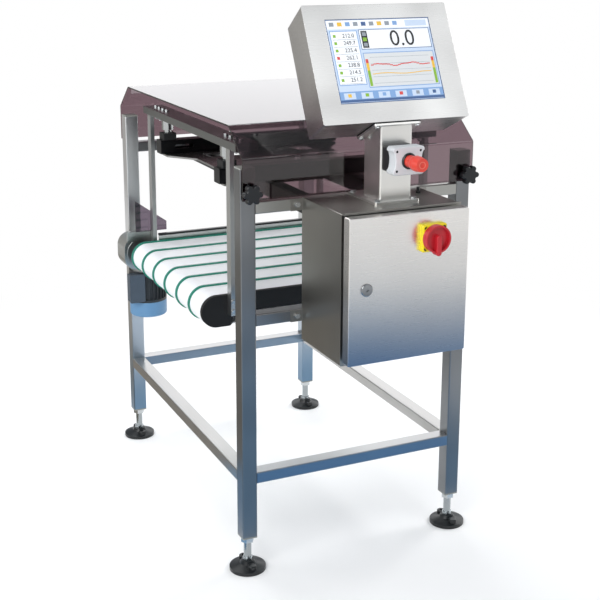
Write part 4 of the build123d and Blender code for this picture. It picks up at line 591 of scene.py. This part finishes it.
CHART_Y, CHART_HIGH = -24, 86
RULES, RULE_LOW_Y, RULE_PITCH = 5, -57, 16
CHART_STEPS, STEP_X, STEP_WIDE, STEP_OVERLAP = 22, -38, 7.2, 0.4
TRACE_Y, MEAN_Y = -12, -34
tile("display_chart_edge", COLUMN_X, CHART_Y, COLUMN_WIDE, CHART_HIGH, "blue", EDGE_LAYER)
tile("display_chart_field", COLUMN_X, CHART_Y, COLUMN_WIDE - FIELD_RIM,
     CHART_HIGH - FIELD_RIM, "paper", FIELD_LAYER)
for line in range(RULES):
    tile(f"display_chart_rule_{line}", COLUMN_X, RULE_LOW_Y + line * RULE_PITCH, 158, 0.6,
         "grey", MARK_LAYER)
for step in range(CHART_STEPS):
    step_x = STEP_X + step * STEP_WIDE
    swing = 2.6 * math.sin(step * 0.55) + 1.0 * math.sin(step * 1.3)
    drift = 1.6 * math.sin(step * 0.4)
    tile(f"display_chart_trace_{step}", step_x, TRACE_Y + swing, STEP_WIDE + STEP_OVERLAP,
         2.4, "red", TRACE_LAYER)
    tile(f"display_chart_mean_{step}", step_x, MEAN_Y + drift, STEP_WIDE + STEP_OVERLAP,
         2.0, "amber", TRACE_LAYER)

# Upright level bars at both ends of the chart, in three colours one above the other.
LEVEL_BARS_X = (-50, 126)
LEVEL_PARTS = (("low", -44, 38, "green"), ("mid", -16, 18, "amber"), ("top", -2, 10, "red"))
for side, bar_x in enumerate(LEVEL_BARS_X):
    for part, part_y, part_high, ink in LEVEL_PARTS:
        tile(f"display_level_{part}_{side}", bar_x, part_y, 7, part_high, ink, MARK_LAYER)

for button, ink in enumerate(BUTTON_SIGNS):
    button_x = BUTTON_X + button * BUTTON_PITCH
    tile(f"display_button_{button}", button_x, BUTTON_Y, 30, 15, "pale", FIELD_LAYER)
    tile(f"display_button_sign_{button}", button_x, BUTTON_Y + 1, 9, 8, ink, MARK_LAYER)


# Small parts that are set into the CAD pieces

CORNERS = ((-1, -1), (1, -1), (1, 1), (-1, 1))


def front_of(name):
    """Place on the front face (-Y) of a node's box: its middle, x to the right, y up, z out."""
    low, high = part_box(name)
    return Matrix((
        (1, 0, 0, (low.x + high.x) / 2),
        (0, 0, -1, low.y),
        (0, 1, 0, (low.z + high.z) / 2),
        (0, 0, 0, 1),
    ))


def ring_outline(radius, count=24, x=0.0, y=0.0):
    """Points of a circle in mm."""
    return [
        (x + radius * math.cos(2 * math.pi * i / count),
         y + radius * math.sin(2 * math.pi * i / count))
        for i in range(count)
    ]


def ring_plate(name, inner, outer, low, high, place, material, body):
    """A flat ring in mm, raised from low to high mm along the third axis of a place."""
    count = 32
    points = [
        place @ Vector((x * MM, y * MM, level * MM))
        for level in (low, high) for radius in (inner, outer)
        for x, y in ring_outline(radius, count)
    ]
    loops = [ring * count for ring in (0, 1, 3, 2)]
    faces = []
    for i in range(count):
        j = (i + 1) % count
        faces += [
            (a + i, b + i, b + j, a + j) for a, b in zip(loops, loops[1:] + loops[:1])
        ]
    return mesh_object(name, points, faces, material, body)


# Cover screws of the emergency stop, sunk in their holes.
COVER_SCREW_X_MM, COVER_SCREW_Z_MM, COVER_SCREW_RADIUS_MM = 31.0, 23.0, 3.0
COVER_SCREW_LOW_MM, COVER_SCREW_HEAD_MM = -2.9, -1.4
for index, (sx, sz) in enumerate(CORNERS):
    head = ring_outline(
        COVER_SCREW_RADIUS_MM, x=sx * COVER_SCREW_X_MM, y=sz * COVER_SCREW_Z_MM
    )
    prism(f"estop_cover_screw_{index}", head, COVER_SCREW_LOW_MM, COVER_SCREW_HEAD_MM,
          front_of("estop_cover"), screw_dark)

# Slanted dark slots in the corners of the isolator's yellow plate.
SLOT_INSET_MM = 6.5      # from the plate's edges to the middle of a corner slot
SLOT_HALF_MM, SLOT_FLATNESS = 4.2, 0.42
SLOT_LOW_MM, SLOT_HIGH_MM = -0.4, 0.06
plate_low, plate_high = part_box("isolator_plate")
slot_x = (plate_high.x - plate_low.x) / 2 / MM - SLOT_INSET_MM
slot_z = (plate_high.z - plate_low.z) / 2 / MM - SLOT_INSET_MM
for index, (sx, sz) in enumerate(CORNERS):
    lean = Matrix.Rotation(math.radians(-45 * sx * sz), 2)
    oval = [lean @ Vector((x, SLOT_FLATNESS * y)) for x, y in ring_outline(SLOT_HALF_MM, 20)]
    slot = [(sx * slot_x + point.x, sz * slot_z + point.y) for point in oval]
    prism(f"isolator_plate_slot_{index}", slot, SLOT_LOW_MM, SLOT_HIGH_MM,
          front_of("isolator_plate"), trim_black, "door")

# Pale ring on the face of the stop button.
HEAD_RING_INNER_MM, HEAD_RING_OUTER_MM = 6.5, 8.5
HEAD_RING_LOW_MM, HEAD_RING_HIGH_MM = -0.4, 0.2
ring_plate("estop_head_ring", HEAD_RING_INNER_MM, HEAD_RING_OUTER_MM, HEAD_RING_LOW_MM,
           HEAD_RING_HIGH_MM, front_of("estop_head"), ring_red, "stop_head")


# Room: a white floor that fades into the white background, soft lamps and coloured cards

FLOOR_COLOUR = "#f6f6f6"
FLOOR_SIZE = 40.0
FADE_FROM, FADE_TO = 0.9, 2.2     # metres from the machine's middle
ROOM_COLOUR, ROOM_STRENGTH = "#dfe8f2", 0.3
WHITE = (1, 1, 1, 1)


def studio_mesh(name, corners, material):
    """One flat face of the studio with a material."""
    mesh = bpy.data.meshes.new(name)
    mesh.from_pydata(corners, [], [(0, 1, 2, 3)])
    mesh.materials.append(material)
    made = bpy.data.objects.new(name, mesh)
    bpy.context.scene.collection.objects.link(made)
    return made


def floor_corners(left, right, front, back, height=0.0):
    """Corners of a level face."""
    return [(left, front, height), (right, front, height), (right, back, height),
            (left, back, height)]


# The floor takes the object's shadow near the machine and is plain white further off.
floor_finish = bpy.data.materials.new("studio_floor_white")
tree = bare_tree(floor_finish)
place = add_node(tree, "ShaderNodeTexCoord").outputs["Object"]
reach = add_node(
    tree, "ShaderNodeVectorMath", {"operation": "LENGTH"}, i0=place
).outputs["Value"]
fade = add_node(
    tree, "ShaderNodeMapRange", {"interpolation_type": "SMOOTHSTEP"},
    Value=reach, i1=FADE_FROM, i2=FADE_TO,
).outputs[0]
near_floor = add_node(tree, "ShaderNodeBsdfDiffuse", Color=linear(FLOOR_COLOUR)).outputs[0]
far_floor = add_node(tree, "ShaderNodeEmission", Color=WHITE, Strength=1.0).outputs[0]
rays = add_node(tree, "ShaderNodeLightPath")
direct = add_node(
    tree, "ShaderNodeMath", {"operation": "MAXIMUM"},
    i0=rays.outputs["Is Camera Ray"], i1=rays.outputs["Is Transmission Ray"],
).outputs[0]
seen = add_node(
    tree, "ShaderNodeMath", {"operation": "MAXIMUM"},
    i0=direct, i1=rays.outputs["Is Glossy Ray"],
).outputs[0]
white_share = add_node(
    tree, "ShaderNodeMath", {"operation": "MULTIPLY"}, i0=fade, i1=seen
).outputs[0]
floor_mix = add_node(
    tree, "ShaderNodeMixShader", i0=white_share, i1=near_floor, i2=far_floor
).outputs[0]
add_node(tree, "ShaderNodeOutputMaterial", Surface=floor_mix)
half_floor = FLOOR_SIZE / 2
floor = studio_mesh(
    "studio_floor", floor_corners(-half_floor, half_floor, -half_floor, half_floor),
    floor_finish,
)

# The room is white to the camera and through the hood, and a faint cool light otherwise.
world = bpy.data.worlds.new("studio")
bpy.context.scene.world = world
tree = bare_tree(world)
rays = add_node(tree, "ShaderNodeLightPath")
seen = add_node(
    tree, "ShaderNodeMath", {"operation": "MAXIMUM"},
    i0=rays.outputs["Is Camera Ray"], i1=rays.outputs["Is Transmission Ray"],
).outputs[0]
room = add_node(
    tree, "ShaderNodeBackground", Color=linear(ROOM_COLOUR), Strength=ROOM_STRENGTH
).outputs[0]
white = add_node(tree, "ShaderNodeBackground", Color=WHITE, Strength=1.0).outputs[0]
chosen = add_node(tree, "ShaderNodeMixShader", i0=seen, i1=room, i2=white).outputs[0]
add_node(tree, "ShaderNodeOutputWorld", Surface=chosen)


def lamp(name, place, target, width, height, power):
    """A rectangular soft lamp at a place, facing a target: metres and watts."""
    light = bpy.data.lights.new(name, "AREA")
    light.shape = "RECTANGLE"
    light.size = width
    light.size_y = height
    light.energy = power
    made = bpy.data.objects.new(name, light)
    made.location = place
    direction = Vector(target) - Vector(place)
    made.rotation_euler = direction.to_track_quat("-Z", "Y").to_euler()
    made.visible_camera = False
    made.visible_transmission = False
    bpy.context.scene.collection.objects.link(made)
    return made


lamps = [
    lamp("lamp_key_left", (-2.6, -2.2, 2.6), (0, 0, 0.8), 2.8, 2.4, 95),
    lamp("lamp_front_high", (1.3, -2.9, 3.1), (0, -0.6, 1.2), 2.6, 1.8, 18),
    lamp("lamp_fill_right", (2.8, 0.2, 2.0), (0, 0, 0.7), 1.6, 1.6, 62),
    lamp("lamp_top", (-0.2, 1.5, 3.4), (0, 0, 0.6), 2.4, 2.0, 64),
    lamp("lamp_back_sheet", (2.6, 3.6, 2.1), (0, 0, 1.1), 4.6, 1.8, 36),
    lamp("lamp_left_low", (-3.0, 0.9, 1.7), (0, 0, 0.7), 1.6, 1.4, 24),
]


def card(name, corners, colour):
    """A lit card in the room. Only reflections see it, as a tone in the polished pieces."""
    glow = bpy.data.materials.new(name)
    tree = bare_tree(glow)
    light = add_node(
        tree, "ShaderNodeEmission", Color=linear(colour), Strength=1.0
    ).outputs[0]
    add_node(tree, "ShaderNodeOutputMaterial", Surface=light)
    made = studio_mesh(name, corners, glow)
    for ray in ("camera", "diffuse", "transmission", "shadow", "volume_scatter"):
        setattr(made, "visible_" + ray, False)
    return made


LOW_CARD, UPPER_CARD = 0.002, 0.004    # heights of the cards that lie just over the floor
STANDING_CARD = [(-3.7, 1.5, 0.0), (-0.9, 4.3, 0.0), (-0.9, 4.3, 2.3), (-3.7, 1.5, 2.3)]
cards = [
    card("card_blue_front", floor_corners(-1.2, 0.75, -2.3, -0.62, LOW_CARD), "#95bce0"),
    card("card_slate_front", floor_corners(0.1, 2.3, -3.0, -2.3, LOW_CARD), "#5a6d80"),
    card("card_dark_left", floor_corners(-3.4, -0.4, -0.55, 2.8, LOW_CARD), "#98938b"),
    card("card_blue_left", floor_corners(-0.8, -0.4, -0.55, 0.1, UPPER_CARD), "#8fb6da"),
    card("card_grey_back_left", STANDING_CARD, "#a5a29e"),
]


# Camera: near the photograph's own view, fitted to the machine's corners for a small shift

CAMERA_PLACE = (-1.334403, -3.005473, 1.578424)
CAMERA_HEADING = 24.922      # degrees to the right of +Y
CAMERA_PITCH = 13.910        # degrees below level
CAMERA_ROLL = -0.188
CAMERA_LENS_MM = 70.4627
CAMERA_SHIFT = -0.1167       # of the picture's width: the photograph is cut low from its lens
camera_data = bpy.data.cameras.new("photo_camera")
camera_data.lens = CAMERA_LENS_MM
camera_data.shift_y = CAMERA_SHIFT
camera = bpy.data.objects.new("photo_camera", camera_data)
camera.matrix_world = (
    Matrix.Translation(CAMERA_PLACE)
    @ Matrix.Rotation(math.radians(-CAMERA_HEADING), 4, "Z")
    @ Matrix.Rotation(math.radians(90 - CAMERA_PITCH), 4, "X")
    @ Matrix.Rotation(math.radians(-CAMERA_ROLL), 4, "Z")
)
bpy.context.scene.collection.objects.link(camera)
bpy.context.scene.camera = camera

bpy.context.scene.view_settings.view_transform = "Standard"
